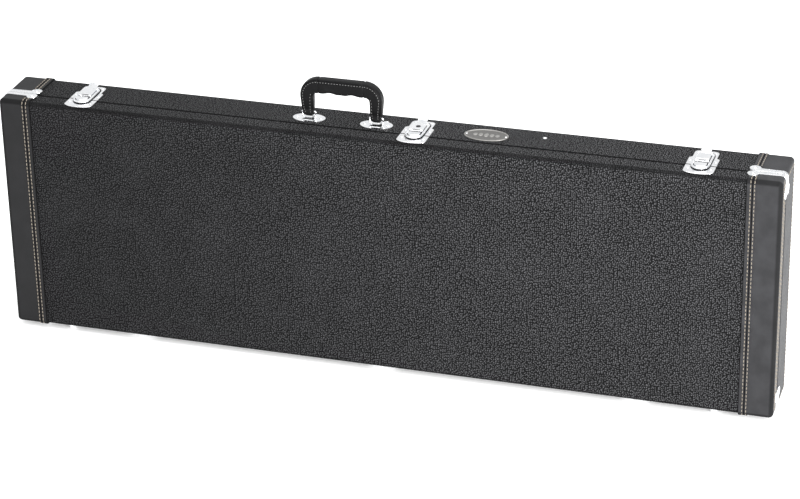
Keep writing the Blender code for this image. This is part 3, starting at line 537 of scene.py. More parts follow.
beige_thread = Finish("beige_thread", "smooth_leatherette", Roughness=0.75, Sheen_Weight=0.2)
twist = beige_thread.noise(0.6 * MM, 2.0).ramp(0.3, 0.7)
beige_thread.give(Base_Color=twist.tint((0.14, 0.115, 0.085), (0.36, 0.31, 0.245)))
beige_thread.emboss((twist, 0.15 * MM, 0.6))
cover_stitches = stitch_tree("cover_stitches", beige_thread)

for half, (outward, rim, face) in HALVES.items():
    walk = [step for step in half_walk(outward, rim, face) if step[4] >= BAND_CLEAR + BAND_RAMP]
    rows = []
    for sign in SIDES.values():
        for row in STITCH_ROWS:
            x = sign * (LENGTH_HALF - COVER_REACH + row)
            rows.append([off_shell(step, x, COVER_SKIN + ROW_DEPTH + 0.15 * MM) for step in walk])
        x = sign * (LENGTH_HALF + COVER_SKIN + 0.1 * MM)
        first, *others = END_ROWS[half]
        outer_y = face - outward * first
        top_z, bottom_z = TOP - first, BOTTOM + first
        start_y = rim + outward * END_ROW_START
        bend_y = outer_y - outward * ROW_BEND
        rows.append([
            (x, start_y, top_z), (x, bend_y, top_z), (x, outer_y, top_z - ROW_BEND),
            (x, outer_y, bottom_z + ROW_BEND), (x, bend_y, bottom_z), (x, start_y, bottom_z),
        ])
        for row in others:
            rows.append([(x, face - outward * row, TOP - row), (x, face - outward * row, BOTTOM + row)])
    grow(f"{half}_cover_stitches", cover_stitches, lines_of(*rows), {}, half)


# ---- Rivets and corner guards ----
# A bent strip of plated steel runs along the rim round each corner of each half. It widens to a round lobe at
# each end, where one rivet goes through to the plywood.

GUARD_WIDTH = 8.5 * MM
GUARD_SHEET = 1.0 * MM
GUARD_EDGE = 0.4 * MM
GUARD_LIFT = 1.6 * MM
GUARD_TOP_REACH = 49 * MM
GUARD_END_REACH = 28 * MM
LOBE_RADIUS = 8.5 * MM
LOBE_FROM_RIM = 9 * MM
GUARD_BEAD = 0.35 * MM
GUARD_DISHED = 0.72

chrome = Finish("chrome", Metallic=1.0)
haze = chrome.noise(14 * MM, 4.0)
hairlines = chrome.noise(0.8 * MM, 3.0)
chrome.give(
    Base_Color=haze.ramp(0.3, 0.7).tint((0.91, 0.92, 0.935), (0.98, 0.98, 0.985)),
    Roughness=haze.ramp(0.35, 0.7, 0.1, 0.2) + hairlines.ramp(0.4, 0.7, 0.0, 0.05),
)
chrome.emboss((haze, 0.3 * MM, 0.12), (hairlines, 0.04 * MM, 0.15))


def head_tree(name, finish, shape, segments, rings, **sizes):
    """Heads turned to each seed's own way up. shape makes one out of a ball, and the sizes are in metres."""
    sizes = open_tree(name, **sizes)
    seeds = sizes["Geometry"]
    ball = seeds.node("GeometryNodeMeshUVSphere", {"Segments": segments, "Rings": rings, "Radius": 1.0})
    way_up = seeds.node("GeometryNodeInputNamedAttribute", {"Name": "way_up"}, data_type="FLOAT_VECTOR")
    turn = seeds.node("FunctionNodeAlignRotationToVector", {"Vector": way_up}, axis="Z")
    return close_tree(seeds, shape(ball, sizes), turn, (1, 1, 1), finish)


def domed(ball, sizes):
    """A dome with a thin collar round its foot."""
    half = sizes["Radius"] * 0.86
    dome = ball.node("GeometryNodeTransform", {"Geometry": ball, "Scale": ball.vector(half, half, sizes["Height"])})
    path = ball.node("GeometryNodeCurvePrimitiveCircle", {"Resolution": 14, "Radius": sizes["Radius"]})
    bead = ball.node("GeometryNodeCurvePrimitiveCircle", {"Resolution": 6, "Radius": sizes["Collar"]})
    collar = ball.node("GeometryNodeCurveToMesh", {"Curve": path, "Profile Curve": bead})
    head = ball.node("GeometryNodeJoinGeometry", {"Geometry": dome})
    ball.tree.links.new(collar.socket, head.socket.node.inputs["Geometry"])
    return head


def seeds_of(places):
    """Seed points for a tree, from (place, way up) pairs."""
    return [place for place, up in places], [], [], {"way_up": [up for place, up in places]}


rivet_heads = head_tree("rivet_heads", chrome, domed, 14, 8, Radius=2.0 * MM, Height=0.9 * MM, Collar=0.35 * MM)


def guard_edges(distance, reach):
    """Near and far edge of a guard, measured from the rim, at a distance from its corner."""
    away = distance - (reach - LOBE_RADIUS)
    if abs(away) >= LOBE_RADIUS:
        return GUARD_EDGE, GUARD_WIDTH
    half_chord = sqrt(LOBE_RADIUS**2 - away**2)
    far = max(GUARD_WIDTH if away < 0 else 0, LOBE_FROM_RIM + half_chord)
    return (GUARD_EDGE if away < 0 else max(GUARD_EDGE, LOBE_FROM_RIM - half_chord)), far


def guard_legs(reach):
    """Distances from the corner at which a guard's leg is shaped, from the corner to its tip."""
    lobe = reach - LOBE_RADIUS
    return [0.0, 3 * MM] + [lobe - LOBE_RADIUS * sin(radians(a)) for a in range(88, -85, -12)]


guard_rivets = {half: [] for half in HALVES}
for half, (outward, rim, face) in HALVES.items():
    for level_name, level in LEVELS.items():
        for side, sign in SIDES.items():
            corner_x = LENGTH_HALF - EDGE
            corner_z = (TOP - EDGE) if level > 0 else (BOTTOM + EDGE)
            base = EDGE + GUARD_LIFT
            stations = [("end", d, guard_edges(d, GUARD_END_REACH)) for d in guard_legs(GUARD_END_REACH)[::-1]]
            stations += [("bend", a, (GUARD_EDGE, GUARD_WIDTH)) for a in quarter(0, 8)[1:-1]]
            stations += [("top", d, guard_edges(d, GUARD_TOP_REACH)) for d in guard_legs(GUARD_TOP_REACH)]
            rings = []
            for part, value, (near, far) in stations:
                wide = far - near
                bead = min(GUARD_BEAD, wide / 4)
                section = []
                for across, height in (
                    (0, 0), (wide, 0), (wide, 0.55), (wide - bead, 1), (wide - 3.2 * bead, 1),
                    (wide - 4.2 * bead, GUARD_DISHED), (4.2 * bead, GUARD_DISHED), (3.2 * bead, 1), (bead, 1),
                    (0, 0.55),
                ):
                    out = base + GUARD_SHEET * height
                    if part == "end":
                        x, z = corner_x + out, corner_z - level * value
                    elif part == "top":
                        x, z = corner_x - value, corner_z + level * out
                    else:
                        x, z = corner_x + out * cos(value), corner_z + level * out * sin(value)
                    section.append((sign * x, rim + outward * (near + across), z))
                rings.append(section)
            guard = Maker()
            guard.solid(rings)
            name = f"{half}_{level_name}_{side}_guard"
            settle(f"{name}_strip", guard.bm, chrome, half, name, sharp=50)
            lobe_y = rim + outward * LOBE_FROM_RIM
            high = base + GUARD_SHEET * GUARD_DISHED
            top_x = corner_x - GUARD_TOP_REACH + LOBE_RADIUS
            end_z = corner_z - level * (GUARD_END_REACH - LOBE_RADIUS)
            guard_rivets[half] += [
                ((sign * top_x, lobe_y, corner_z + level * high), (0, 0, level)),
                ((sign * (corner_x + high), lobe_y, end_z), (sign, 0, 0)),
            ]
for half, places in guard_rivets.items():
    sizes = {"Radius": 2.4 * MM, "Height": 1.0 * MM}
    grow(f"{half}_guard_rivets", rivet_heads, seeds_of(places), sizes, half)


# ---- Feet and hinges ----
# Domed plated feet are nailed under both ends of each half. Three butt hinges join the lower edges: two leaves,
# a pin in their knuckles, and countersunk screws with crossed slots.

FOOT_PLACES = [(half, end, side) for half, end in (("lid", "front"), ("body", "rear")) for side in SIDES]
THREE_PLACES = ("left", "middle", "right")
HINGE_SCREWS = (-14 * MM, 0, 14 * MM)
HINGE_SCREW_FROM_SEAM = 13.5 * MM
LEAF_FACE = BOTTOM - 1.3 * MM


def cad_copy(node):
    """A merged copy of a CAD node's mesh, without the edges that only divide its flat faces."""
    bm = bmesh.new()
    bm.from_mesh(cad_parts[node].data)
    bmesh.ops.remove_doubles(bm, verts=bm.verts, dist=2e-6)
    bmesh.ops.dissolve_limit(bm, angle_limit=radians(1), verts=bm.verts, edges=bm.edges)
    return bm


def slotted(ball, sizes):
    """A flat dome with a crossed slot cut into it."""
    radius, height = sizes["Radius"], sizes["Height"]
    head = ball.node("GeometryNodeTransform", {"Geometry": ball, "Scale": ball.vector(radius, radius, height)})
    for bar in ((radius * 1.25, sizes["Slot"]), (sizes["Slot"], radius * 1.25)):
        bar = ball.node("GeometryNodeMeshCube", {"Size": ball.vector(*bar, height * 1.4)})
        raised = ball.node("GeometryNodeTransform", {"Geometry": bar, "Translation": ball.vector(z=height)})
        head = ball.node("GeometryNodeMeshBoolean", {"Mesh 1": head, "Mesh 2": raised}, operation="DIFFERENCE")
    return head


for half, end, side in FOOT_PLACES:
    node = f"foot_{end}_{side}"
    settle(f"{node}_dome", cad_copy(node), chrome, half, node, sharp=50, rounded=0.25 * MM)

screw_heads = head_tree("screw_heads", chrome, slotted, 18, 10, Radius=2.6 * MM, Height=0.5 * MM, Slot=0.6 * MM)
hinge_screws = {half: [] for half in HALVES}
for place in THREE_PLACES:
    node = f"hinge_{place}_pin"
    settle(f"{node}_rod", cad_copy(node), chrome, "body", node, sharp=50, rounded=0.2 * MM)
    for half, (outward, rim, face) in HALVES.items():
        node = f"hinge_{place}_{half}_leaf"
        low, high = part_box(node)
        settle(f"{node}_plate", cad_copy(node), chrome, half, node, sharp=50, rounded=0.15 * MM)
        for along in HINGE_SCREWS:
            centre = ((low.x + high.x) / 2 + along, SEAM + outward * HINGE_SCREW_FROM_SEAM, LEAF_FACE)
            hinge_screws[half].append((centre, (0, 0, -1)))
for half, places in hinge_screws.items():
    grow(f"{half}_hinge_screws", screw_heads, seeds_of(places), {}, half)


# ---- Draw latches ----
# Pressed and plated steel, three across the top. The strike on the lid has a raised hook. The base on the body
# carries a lever that turns on a rod and pulls a thick wire loop over the hook. Shade is painted near black on the
# plates under the loop and the lever.

LEVER_PIVOT = (SEAM + 7.5 * MM, TOP + 4.6 * MM)
LEVER_NOSE = 2.7 * MM
# Angles round the rod, in degrees, of the curled end of the sheet, the ears beside the lug and the cheeks.
SHEET_CURL, EAR_CURL, CHEEK_CURL = (105, 91), (215, 101), (100, 235)
LEVER_TOP = TOP + 7.6 * MM
LEVER_LOW = TOP + 2.4 * MM
LEVER_SHEET = 1.2 * MM
LEVER_HALF = 10 * MM
EAR_HALF = 2.1 * MM
LEVER_REAR = SEAM + 37 * MM
TAB_HALF = 7.5 * MM
TAB_END = SEAM + 48 * MM
TAB_RISE = 6.5 * MM
CREASE_FROM_PIVOT = 3.4 * MM
LOOP_Z = TOP + 4.2 * MM
LOOP_WIRE = 1.8 * MM
LOOP_REAR = SEAM + 34 * MM
LOOP_FRONT = SEAM - 4.5 * MM
LOOP_HALF = 12.2 * MM
LOOP_TURN_IN = 6.8 * MM
STRIKE_RIVETS = ((-17, -12.5), (17, -12.5))
BASE_RIVETS = ((-18.5, 15), (18.5, 15), (-13.2, 46), (13.2, 46))
PLATE_FACE = TOP + 1.5 * MM
LATCH_X = [sum(corner.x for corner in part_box(f"latch_{place}_base")) / 2 for place in THREE_PLACES]


def round_wire(points, radius, flat_way, sides=14, looped=False):
    """Round wire along points that lie in one plane, mitred at its bends."""
    points, flat_way = [Vector(point) for point in points], Vector(flat_way)
    rings = []
    for i, point in enumerate(points):
        before = points[i - 1] if looped or i else None
        after = points[(i + 1) % len(points)] if looped or i < len(points) - 1 else None
        incoming = (point - before).normalized() if before else (after - point).normalized()
        outgoing = (after - point).normalized() if after else incoming
        along = (incoming + outgoing).normalized()
        reach = radius / max(along.dot(incoming), 0.5)
        side = along.cross(flat_way)
        rings.append([
            tuple(point + side * (reach * cos(turn)) + flat_way * (radius * sin(turn)))
            for turn in (2 * pi * k / sides for k in range(sides))
        ])
    wire = Maker()
    if looped:
        wire.skin(rings, looped=True)
    else:
        wire.solid(rings)
    return wire.bm


def arc_points(centre, radius, start, end, steps):
    """Points on an arc, angles in degrees."""
    turns = [radians(start + (end - start) * i / steps) for i in range(steps + 1)]
    return [(centre[0] + radius * cos(t), centre[1] + radius * sin(t)) for t in turns]


def strip_ring(x, step):
    """One section of a lever's strip, 1.2 mm thick, with its upper edges rolled."""
    y, z, out_y, out_z, half = step
    edge = min(0.35 * MM, half / 4)
    return [
        (x + across, y + out_y * height * MM, z + out_z * height * MM)
        for across, height in (
            (-half, -0.5), (-half, -0.3), (edge - half, 0.0), (2 * edge - half, 0.0), (0, 0.04),
            (half - 2 * edge, 0.0), (half - edge, 0.0), (half, -0.3), (half, -0.5), (half, -1.0),
            (half - edge, -1.2), (edge - half, -1.2), (-half, -1.0),
        )
    ]


def nose_steps(start, end, half):
    """Steps round the rod, from one angle to another in degrees."""
    ways_out = arc_points((0, 0), 1, start, end, 9)
    pivot_y, pivot_z = LEVER_PIVOT
    return [(pivot_y + LEVER_NOSE * y, pivot_z + LEVER_NOSE * z, y, z, half) for y, z in ways_out]


def lever_sheet(x):
    """The top of a lever: starts over the rod, creased across, and rising to a round thumb tab."""
    line = nose_steps(*SHEET_CURL, LEVER_HALF)
    crease = LEVER_PIVOT[0] + CREASE_FROM_PIVOT
    for away, drop in (
        (-1.2, 0), (-0.6, 0.25), (0, 0.45), (0.6, 0.25), (1.2, 0), (6, 0), (20, 0), (20.8, 0.2), (21.6, 0.55),
        (22.6, 0.55), (23.4, 0.2), (24.2, 0), (25.2, 0),
    ):
        line.append((crease + away * MM, LEVER_TOP - drop * MM, 0.0, 1.0, LEVER_HALF))
    start = LEVER_REAR - LEVER_SHEET
    for i in range(1, 17):
        share = i / 16
        rise = TAB_RISE * share**2
        slope = 2 * TAB_RISE * share / (TAB_END - start)
        length = hypot(1, slope)
        neck = max(0.0, 1 - share * 5)
        tip = max(0.0, (share - 0.5) / 0.5)
        half = (TAB_HALF + (LEVER_HALF - TAB_HALF) * neck**2) * sqrt(max(1 - tip**2, 0.03))
        line.append((start + (TAB_END - start) * share, LEVER_TOP + rise, -slope / length, 1 / length, half))
    return [strip_ring(x, step) for step in line]


latch_steel = Finish("latch_steel", "chrome", Metallic=1.0)
bright = latch_steel.noise(14 * MM, 4.0)
plate_x, plate_y, plate_z = (latch_steel.place.part(axis) for axis in "XYZ")
# Painted shade: round each loop and under its lever, the flat of the plate goes near black. The raised hook keeps its
# plated colour.
aside = [(plate_x - x).absolute() for x in LATCH_X]
aside = aside[0].lesser(aside[1]).lesser(aside[2])
beyond = (LOOP_FRONT - plate_y).greater(plate_y - LOOP_REAR).greater(0.0)
from_loop = aside.sum("POWER", aside * aside + beyond * beyond)
outside_painted_shade = from_loop.ramp(LOOP_HALF + 1.6 * MM, LOOP_HALF + 3.0 * MM).greater(
    plate_z.ramp(PLATE_FACE + 0.25 * MM, PLATE_FACE + 0.6 * MM)
)
steel_outside_shade = bright.ramp(0.3, 0.7, 0.92, 1.0) * outside_painted_shade
latch_steel.give(
    Base_Color=steel_outside_shade.tint((0.012, 0.012, 0.014), (0.97, 0.97, 0.98)),
    Roughness=bright.ramp(0.35, 0.7, 0.1, 0.2),
)
latch_steel.emboss((bright, 0.3 * MM, 0.12))

latch_rivets = {"lid": [], "body": []}
pivot_y, pivot_z = LEVER_PIVOT
bend = LOOP_WIRE
loop_path = [(-LOOP_TURN_IN, LOOP_REAR)] + arc_points((bend - LOOP_HALF, LOOP_REAR - bend), bend, 90, 180, 5)
loop_path += arc_points((0, LOOP_FRONT), LOOP_HALF, 180, 360, 32)
loop_path += arc_points((LOOP_HALF - bend, LOOP_REAR - bend), bend, 0, 90, 5) + [(LOOP_TURN_IN, LOOP_REAR)]
cheek = arc_points(LEVER_PIVOT, LEVER_NOSE - 0.15 * MM, *CHEEK_CURL, 12)
cheek += [(pivot_y, LEVER_LOW), (pivot_y + 8 * MM, LEVER_LOW), (LEVER_REAR - 5 * MM, LEVER_LOW)]
cheek += [(LEVER_REAR - 1.5 * MM, LEVER_LOW + 0.9 * MM), (LEVER_REAR - 0.3 * MM, LEVER_LOW + 2.6 * MM)]
cheek += [(LEVER_REAR - 0.2 * MM, LEVER_TOP - 0.35 * MM), (pivot_y + 1.5 * MM, LEVER_TOP - 0.35 * MM)]
for latch, x in zip((f"latch_{place}" for place in THREE_PLACES), LATCH_X):
    for part, half, rivets in (("strike", "lid", STRIKE_RIVETS), ("base", "body", BASE_RIVETS)):
        node = f"{latch}_{part}"
        settle(f"{node}_plate", cad_copy(node), latch_steel, half, node, sharp=30, rounded=0.4 * MM)
        latch_rivets[half] += [((x + px * MM, SEAM + py * MM, PLATE_FACE), (0, 0, 1)) for px, py in rivets]
    lever = Maker()
    lever.solid(lever_sheet(x))
    for sign in SIDES.values():
        ear_steps = nose_steps(*EAR_CURL, EAR_HALF)
        lever.solid([strip_ring(x + sign * (LEVER_HALF - EAR_HALF), step) for step in ear_steps])
        outer, inner = LEVER_HALF - 0.05 * MM, LEVER_HALF - LEVER_SHEET
        lever.solid([[(x + sign * across, y, z) for y, z in cheek] for across in (inner, outer)])
    settle(f"{latch}_lever_sheet", lever.bm, chrome, f"{latch}_lever", f"{latch}_lever")
    loop = round_wire([(x + px, py, LOOP_Z) for px, py in loop_path], LOOP_WIRE, (0, 0, 1))
    settle(f"{latch}_wire_loop", loop, chrome, f"{latch}_loop", f"{latch}_loop", sharp=50)
for half in HALVES:
    sizes = {"Radius": 1.9 * MM, "Height": 0.75 * MM, "Collar": 0.3 * MM}
    grow(f"{half}_latch_rivets", rivet_heads, seeds_of(latch_rivets[half]), sizes, half)


# ---- Lock ----
# The middle lever holds a small turned steel plug with a keyway across its face. It is swaged into the lever, and
# its face stands just proud of the sheet.

lock_steel = Finish("lock_steel", Metallic=1.0)
turned_marks = lock_steel.noise(0.5 * MM, 3.0)
lock_steel.give(
    Base_Color=turned_marks.tint((0.02, 0.02, 0.022), (0.05, 0.05, 0.053)),
    Roughness=turned_marks.ramp(0.3, 0.7, 0.28, 0.45),
)
lock_steel.emboss((turned_marks, 0.05 * MM, 0.3))
settle("lock_plug_face", cad_copy("lock_plug"), lock_steel, "lock_plug", "lock_plug", rounded=0.12 * MM)


# ---- Handle ----
# A D-shaped handle of black leatherette over a padded core, sewn near its edges with small pale stitches. A wire
# ring goes through the foot of each leg and under the bridge of an oval plate that is riveted to the body.

grip_low, grip_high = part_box("handle_grip")
HANDLE_X = (grip_low.x + grip_high.x) / 2
HANDLE_Y = (grip_low.y + grip_high.y) / 2
RING_WIRE = 1.5 * MM
RING_HALF = 10.6 * MM
RING_LOW = TOP + 4.0 * MM
RING_HIGH = RING_LOW + 8.5 * MM
RING_BEND = 2.2 * MM
PLATE_RIVET_X = 18.6 * MM
OVAL_FACE = TOP + 1.8 * MM
LEG_X = 53.3 * MM
LEG_TOP_X = 54.5 * MM
LEG_LOW = grip_low.z
LEG_THIN = 8 * MM
LEG_FULL_Z = RING_LOW + 20 * MM
GRIP_MIDDLE_Z = grip_high.z - 12.25 * MM
CORNER = 17 * MM
LEG_WIDTHS = (17 * MM, 21 * MM)
GRIP_WIDTH = 24.5 * MM
THICKNESS = 17 * MM
WRAP_END = 36.5 * MM
WAVE = 1.7 * MM
# Round half of a section, from its outer edge to its inner edge: distance in from the edge in mm, and the
# share of half the thickness. The dips are the piping line and the two sewn lines.
OUTER_PART = (
    (0, 0.0), (0, 0.42), (0.35, 0.68), (1.1, 0.86), (1.9, 0.9), (2.45, 0.83), (2.8, 0.81), (3.3, 0.9),
    (4.2, 0.965), (4.9, 0.945), (5.6, 0.975), (7.2, 1.0),
)
INNER_PART = ((6.4, 1.0), (5.0, 0.975), (4.3, 0.945), (3.6, 0.96), (2.4, 0.9), (1.1, 0.75), (0.3, 0.5), (0, 0.2))

handle_leather = Finish("handle_leather", Specular_IOR_Level=0.16)
leather_cells = handle_leather.cells(1.0 * MM, randomness=1.0, feature="DISTANCE_TO_EDGE").ramp(0.0, 0.2)
leather_folds = handle_leather.noise(11 * MM, 4.0)
rubbed = leather_folds.ramp(0.5, 0.75)
handle_leather.give(
    Base_Color=rubbed.tint((0.0015, 0.0015, 0.0018), (0.005, 0.005, 0.0055)),
    Roughness=0.48 - leather_cells * 0.08 - rubbed * 0.06,
)
handle_leather.emboss((leather_folds, 0.6 * MM, 0.35), (leather_cells, 0.12 * MM, 0.4))


def handle_walk():
    """Sections of the handle from the foot of its right leg to the foot of its left leg: middle x and z, the
    outward angle, width, thickness, how far the underside drops, and a scale for the wrap and its seams."""
    corner_z = GRIP_MIDDLE_Z - CORNER
    right = []
    levels = [LEG_LOW, LEG_LOW + 0.5 * MM, LEG_LOW + 1.6 * MM]
    levels += [LEG_LOW + 1.6 * MM + (corner_z - LEG_LOW - 1.6 * MM) * i / 7 for i in range(1, 8)]
    for i, z in enumerate(levels):
        share = (z - LEG_LOW) / (corner_z - LEG_LOW)
        thin = min(1.0, (z - LEG_LOW) / (LEG_FULL_Z - LEG_LOW))
        thin = thin * thin * (3 - 2 * thin)
        width = LEG_WIDTHS[0] + (LEG_WIDTHS[1] - LEG_WIDTHS[0]) * share
        scale = (0.9, 0.97, 1.0)[i] if i < 3 else 1.0
        thickness = LEG_THIN + (THICKNESS - LEG_THIN) * thin
        right.append((LEG_X + (LEG_TOP_X - LEG_X) * share, z, 0.0, width, thickness, 0.0, scale))
    for a in quarter(0, 9)[1:]:
        width = LEG_WIDTHS[1] + (GRIP_WIDTH - LEG_WIDTHS[1]) * a / (pi / 2)
        x = LEG_TOP_X - CORNER + CORNER * cos(a)
        right.append((x, corner_z + CORNER * sin(a), a, width, THICKNESS, 0.0, 1.0))
    top = [(WRAP_END, 1.0), (WRAP_END - 0.2 * MM, 0.9), (WRAP_END - 1.2 * MM, 0.88), (WRAP_END - 1.7 * MM, 0.985)]
    for x, scale in top:
        right.append((x, GRIP_MIDDLE_Z, pi / 2, GRIP_WIDTH, THICKNESS, 0.0, scale))
    left = [(-x, z, pi - a, w, t, d, s) for x, z, a, w, t, d, s in right[::-1]]
    span = WRAP_END - 1.7 * MM
    middle = []
    for i in range(1, 24):
        share = i / 24
        drop = WAVE * cos(4 * pi * share) * sin(pi * min(share, 1 - share) * 2) - 0.3 * MM
        middle.append((span - 2 * span * share, GRIP_MIDDLE_Z, pi / 2, GRIP_WIDTH, THICKNESS, drop, 0.99))
    return right + middle + left


def handle_point(section, inward, thick_share, face):
    """A point on a section: inward is its distance in from the outer edge, or from the inner edge if negative.
    thick_share is its share of half the thickness, and face is 1 for the rear face and -1 for the front."""
    x, z, angle, width, thickness, drop, scale = section
    across = (width / 2 - inward) if inward >= 0 else (-width / 2 - drop - inward)
    out = across * scale
    return (
        HANDLE_X + x + cos(angle) * out,
        HANDLE_Y + face * thick_share * scale * thickness / 2,
        z + sin(angle) * out,
    )


walk = handle_walk()
grip = Maker()
rings = []
for section in walk:
    ring = []
    for face in (1, -1):
        part = [handle_point(section, inward * MM, share, face) for inward, share in OUTER_PART]
        part += [handle_point(section, -inward * MM - 1e-9, share, face) for inward, share in INNER_PART]
        ring += part if face > 0 else part[:0:-1]
    rings.append(ring)
grip.solid(rings)
grip_piece = settle("handle_grip_leather", grip.bm, handle_leather, "handle", "handle_grip", hard=False)
soften = grip_piece.modifiers.new("soften", "SUBSURF")
soften.levels = soften.render_levels = 1

handle_thread = Finish("handle_thread", "handle_leather", Roughness=0.7)
handle_twist = handle_thread.noise(0.4 * MM, 2.0).ramp(0.3, 0.7)
handle_thread.give(Base_Color=handle_twist.tint((0.12, 0.12, 0.12), (0.32, 0.32, 0.31)))
handle_stitches = stitch_tree("handle_stitches", handle_thread)
sewn = []
legs = (walk[3:16], walk[-16:-3])
for face in (1, -1):
    sewn.append([handle_point(section, 4.9 * MM, 0.955, face) for section in walk[3:-3]])
    for leg in legs:
        upright = [section for section in leg if min(section[2], pi - section[2]) < 0.4]
        sewn.append([handle_point(section, -4.3 * MM, 0.955, face) for section in upright])
handle_sizes = {"Pitch": 4.4 * MM, "Length": 2.1 * MM, "Thickness": 0.85 * MM}
grow("handle_stitches", handle_stitches, lines_of(*sewn), handle_sizes, "handle")

plate_rivets = []
for side, sign in SIDES.items():
    x = HANDLE_X + sign * LEG_X
    reach, low, high = RING_HALF - RING_BEND, RING_LOW + RING_BEND, RING_HIGH - RING_BEND
    path = []
    for start, (cx, cz) in zip((0, 90, 180, 270), ((reach, high), (-reach, high), (-reach, low), (reach, low))):
        path += [(x + px, HANDLE_Y, pz) for px, pz in arc_points((cx, cz), RING_BEND, start, start + 90, 5)]
    node = f"handle_{side}_ring"
    settle(f"{node}_wire", round_wire(path, RING_WIRE, (0, 1, 0), looped=True), chrome, "handle", node, sharp=50)
    node = f"handle_{side}_plate"
    settle(f"{node}_oval", cad_copy(node), chrome, "body", node, sharp=30, rounded=0.35 * MM)
    plate_rivets += [((x + way * PLATE_RIVET_X, HANDLE_Y, OVAL_FACE), (0, 0, 1)) for way in (-1, 1)]
grow("handle_plate_rivets", rivet_heads, seeds_of(plate_rivets), {"Radius": 2.6 * MM}, "body")


# ---- Badge and lone rivets ----
# A cast oval badge in dull pewter, with a raised rim, a sunk field and a row of five plain bosses, held by two
# small studs. Two single rivets on the top hold the frame underneath.

LONE_RIVETS = ((242, 41), (-2.6, 38))
BOSS_PITCH, BOSS_HALF, STUD_X = 8.5 * MM, 3.6 * MM, 30 * MM
badge_low, badge_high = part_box("badge")
BADGE_CENTRE = ((badge_low.x + badge_high.x) / 2, (badge_low.y + badge_high.y) / 2)
BADGE_HALF = ((badge_high.x - badge_low.x) / 2, (badge_high.y - badge_low.y) / 2)
# From the outer edge to the middle: distance in and height, in mm.
BADGE_STEPS = (
    (0, 0), (0, 0.9), (0.25, 1.25), (0.7, 1.4), (1.7, 1.4), (2.2, 1.25), (2.6, 0.75), (4.2, 0.7), (4.5, 0.95),
    (5.1, 0.95), (5.4, 0.7), (9.0, 0.75),
)
BOSS_STEPS = ((0, 0.6), (0.1, 1.0), (0.6, 1.25), (1.4, 1.35))

pewter = Finish("badge_pewter", Metallic=1.0)
cast_grain = pewter.noise(0.7 * MM, 4.0)
tarnish = pewter.noise(2.5 * MM, 3.0).ramp(0.3, 0.7)
proud = (pewter.place.part("Z") - badge_low.z).ramp(0.82 * MM, 1.1 * MM, 0.4, 0.85)
pewter.give(
    Base_Color=((0.8 + tarnish * 0.2) * proud).tint((0.03, 0.029, 0.028), (0.46, 0.45, 0.43)),
    Roughness=cast_grain.ramp(0.3, 0.7, 0.32, 0.55),
)
pewter.emboss((cast_grain, 0.12 * MM, 0.5))


def ovals(centre_x, halves, profile, steps):
    """Oval rings about a place on the badge's long axis, each inset and raised by its step of the profile."""
    turns = [2 * pi * i / steps for i in range(steps)]
    return [
        [
            (centre_x + (halves[0] - inset * MM) * cos(t), BADGE_CENTRE[1] + (halves[1] - inset * MM) * sin(t),
             badge_low.z + height * MM) for t in turns
        ] for inset, height in profile
    ]


badge = Maker()
badge.solid(ovals(BADGE_CENTRE[0], BADGE_HALF, BADGE_STEPS, 64))
for i in range(-2, 3):
    tall = (6.6 - 1.1 * abs(i)) * MM
    badge.solid(ovals(BADGE_CENTRE[0] + i * BOSS_PITCH, (BOSS_HALF, tall), BOSS_STEPS, 20))
settle("badge_casting", badge.bm, pewter, "body", "badge", sharp=50)
stud_z = badge_low.z + 0.75 * MM
studs = [((BADGE_CENTRE[0] + sign * STUD_X, BADGE_CENTRE[1], stud_z), (0, 0, 1)) for sign in (-1, 1)]
grow("badge_studs", rivet_heads, seeds_of(studs), {"Radius": 1.5 * MM}, "body")
lone = [((x * MM, SEAM + y * MM, TOP), (0, 0, 1)) for x, y in LONE_RIVETS]
grow("top_rivets", rivet_heads, seeds_of(lone), {"Radius": 3.0 * MM, "Height": 1.3 * MM}, "body")


# ---- Padding ----
# Foam sheets and blocks covered in short black plush, glued into both halves. The back and lid pads lie flat, the
# upper and lower blocks leave a channel for the neck, and the cradle bridges that channel under the neck.

FOAM_STEP = 5.0 * MM
FOAM_SOFTEN = 7
PAD_CROWN = 1.5 * MM
CROWN_REACH = 30 * MM
# A face belongs to a pad's show side if its normal leans towards that side by more than this.
FACING = 0.6
PAD_RIPPLE, RIPPLES_PER_METRE = 0.35 * MM, 14
BACK_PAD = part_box("body_back_pad")
LID_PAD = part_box("lid_pad")
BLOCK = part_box("body_upper_pad")
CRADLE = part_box("neck_cradle")
POCKET_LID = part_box("accessory_pocket_lid")
MIDDLE_Z = (BOTTOM + TOP) / 2
NECK_HALF, HEAD_HALF = 45 * MM, 75 * MM
BLOCK_START, BOUT_CORNER = -60 * MM, 45 * MM
HEAD_START = 345 * MM
BLOCK_END_GAP = 30 * MM
POCKET_LEDGE = 4.7 * MM
POCKET_FLOOR = 6 * MM
CUT_PAST = 20 * MM
NOTCH_DEPTH, NOTCH_HALF, NOTCH_HALF_BELOW = 10 * MM, 31 * MM, 24.5 * MM

plush = Finish("plush_lining", Roughness=0.92, Sheen_Weight=0.45, Sheen_Roughness=0.4, Sheen_Tint=(0.5, 0.5, 0.55, 1))
pile = plush.noise(1.3 * MM, 4.0).ramp(0.3, 0.7)
brushed = plush.noise(45 * MM, 3.0).ramp(0.4, 0.62)
plush.give(Base_Color=(pile * 0.6 + brushed * 0.4).tint((0.008, 0.007, 0.009), (0.03, 0.028, 0.033)))
plush.emboss((brushed, 0.8 * MM, 0.3), (pile, 0.6 * MM, 0.7))


def slab(outline, glued_y, show_y):
    """A straight-sided block of foam with a given outline in x and z."""
    block = Maker()
    block.solid([[(x, y, z) for x, z in outline] for y in (glued_y, show_y)])
    return block.bm


def rectangle(low, high, inset):
    left, below, right, above = low[0] + inset, low[2] + inset, high[0] - inset, high[2] - inset
    return [(left, below), (right, below), (right, above), (left, above)]


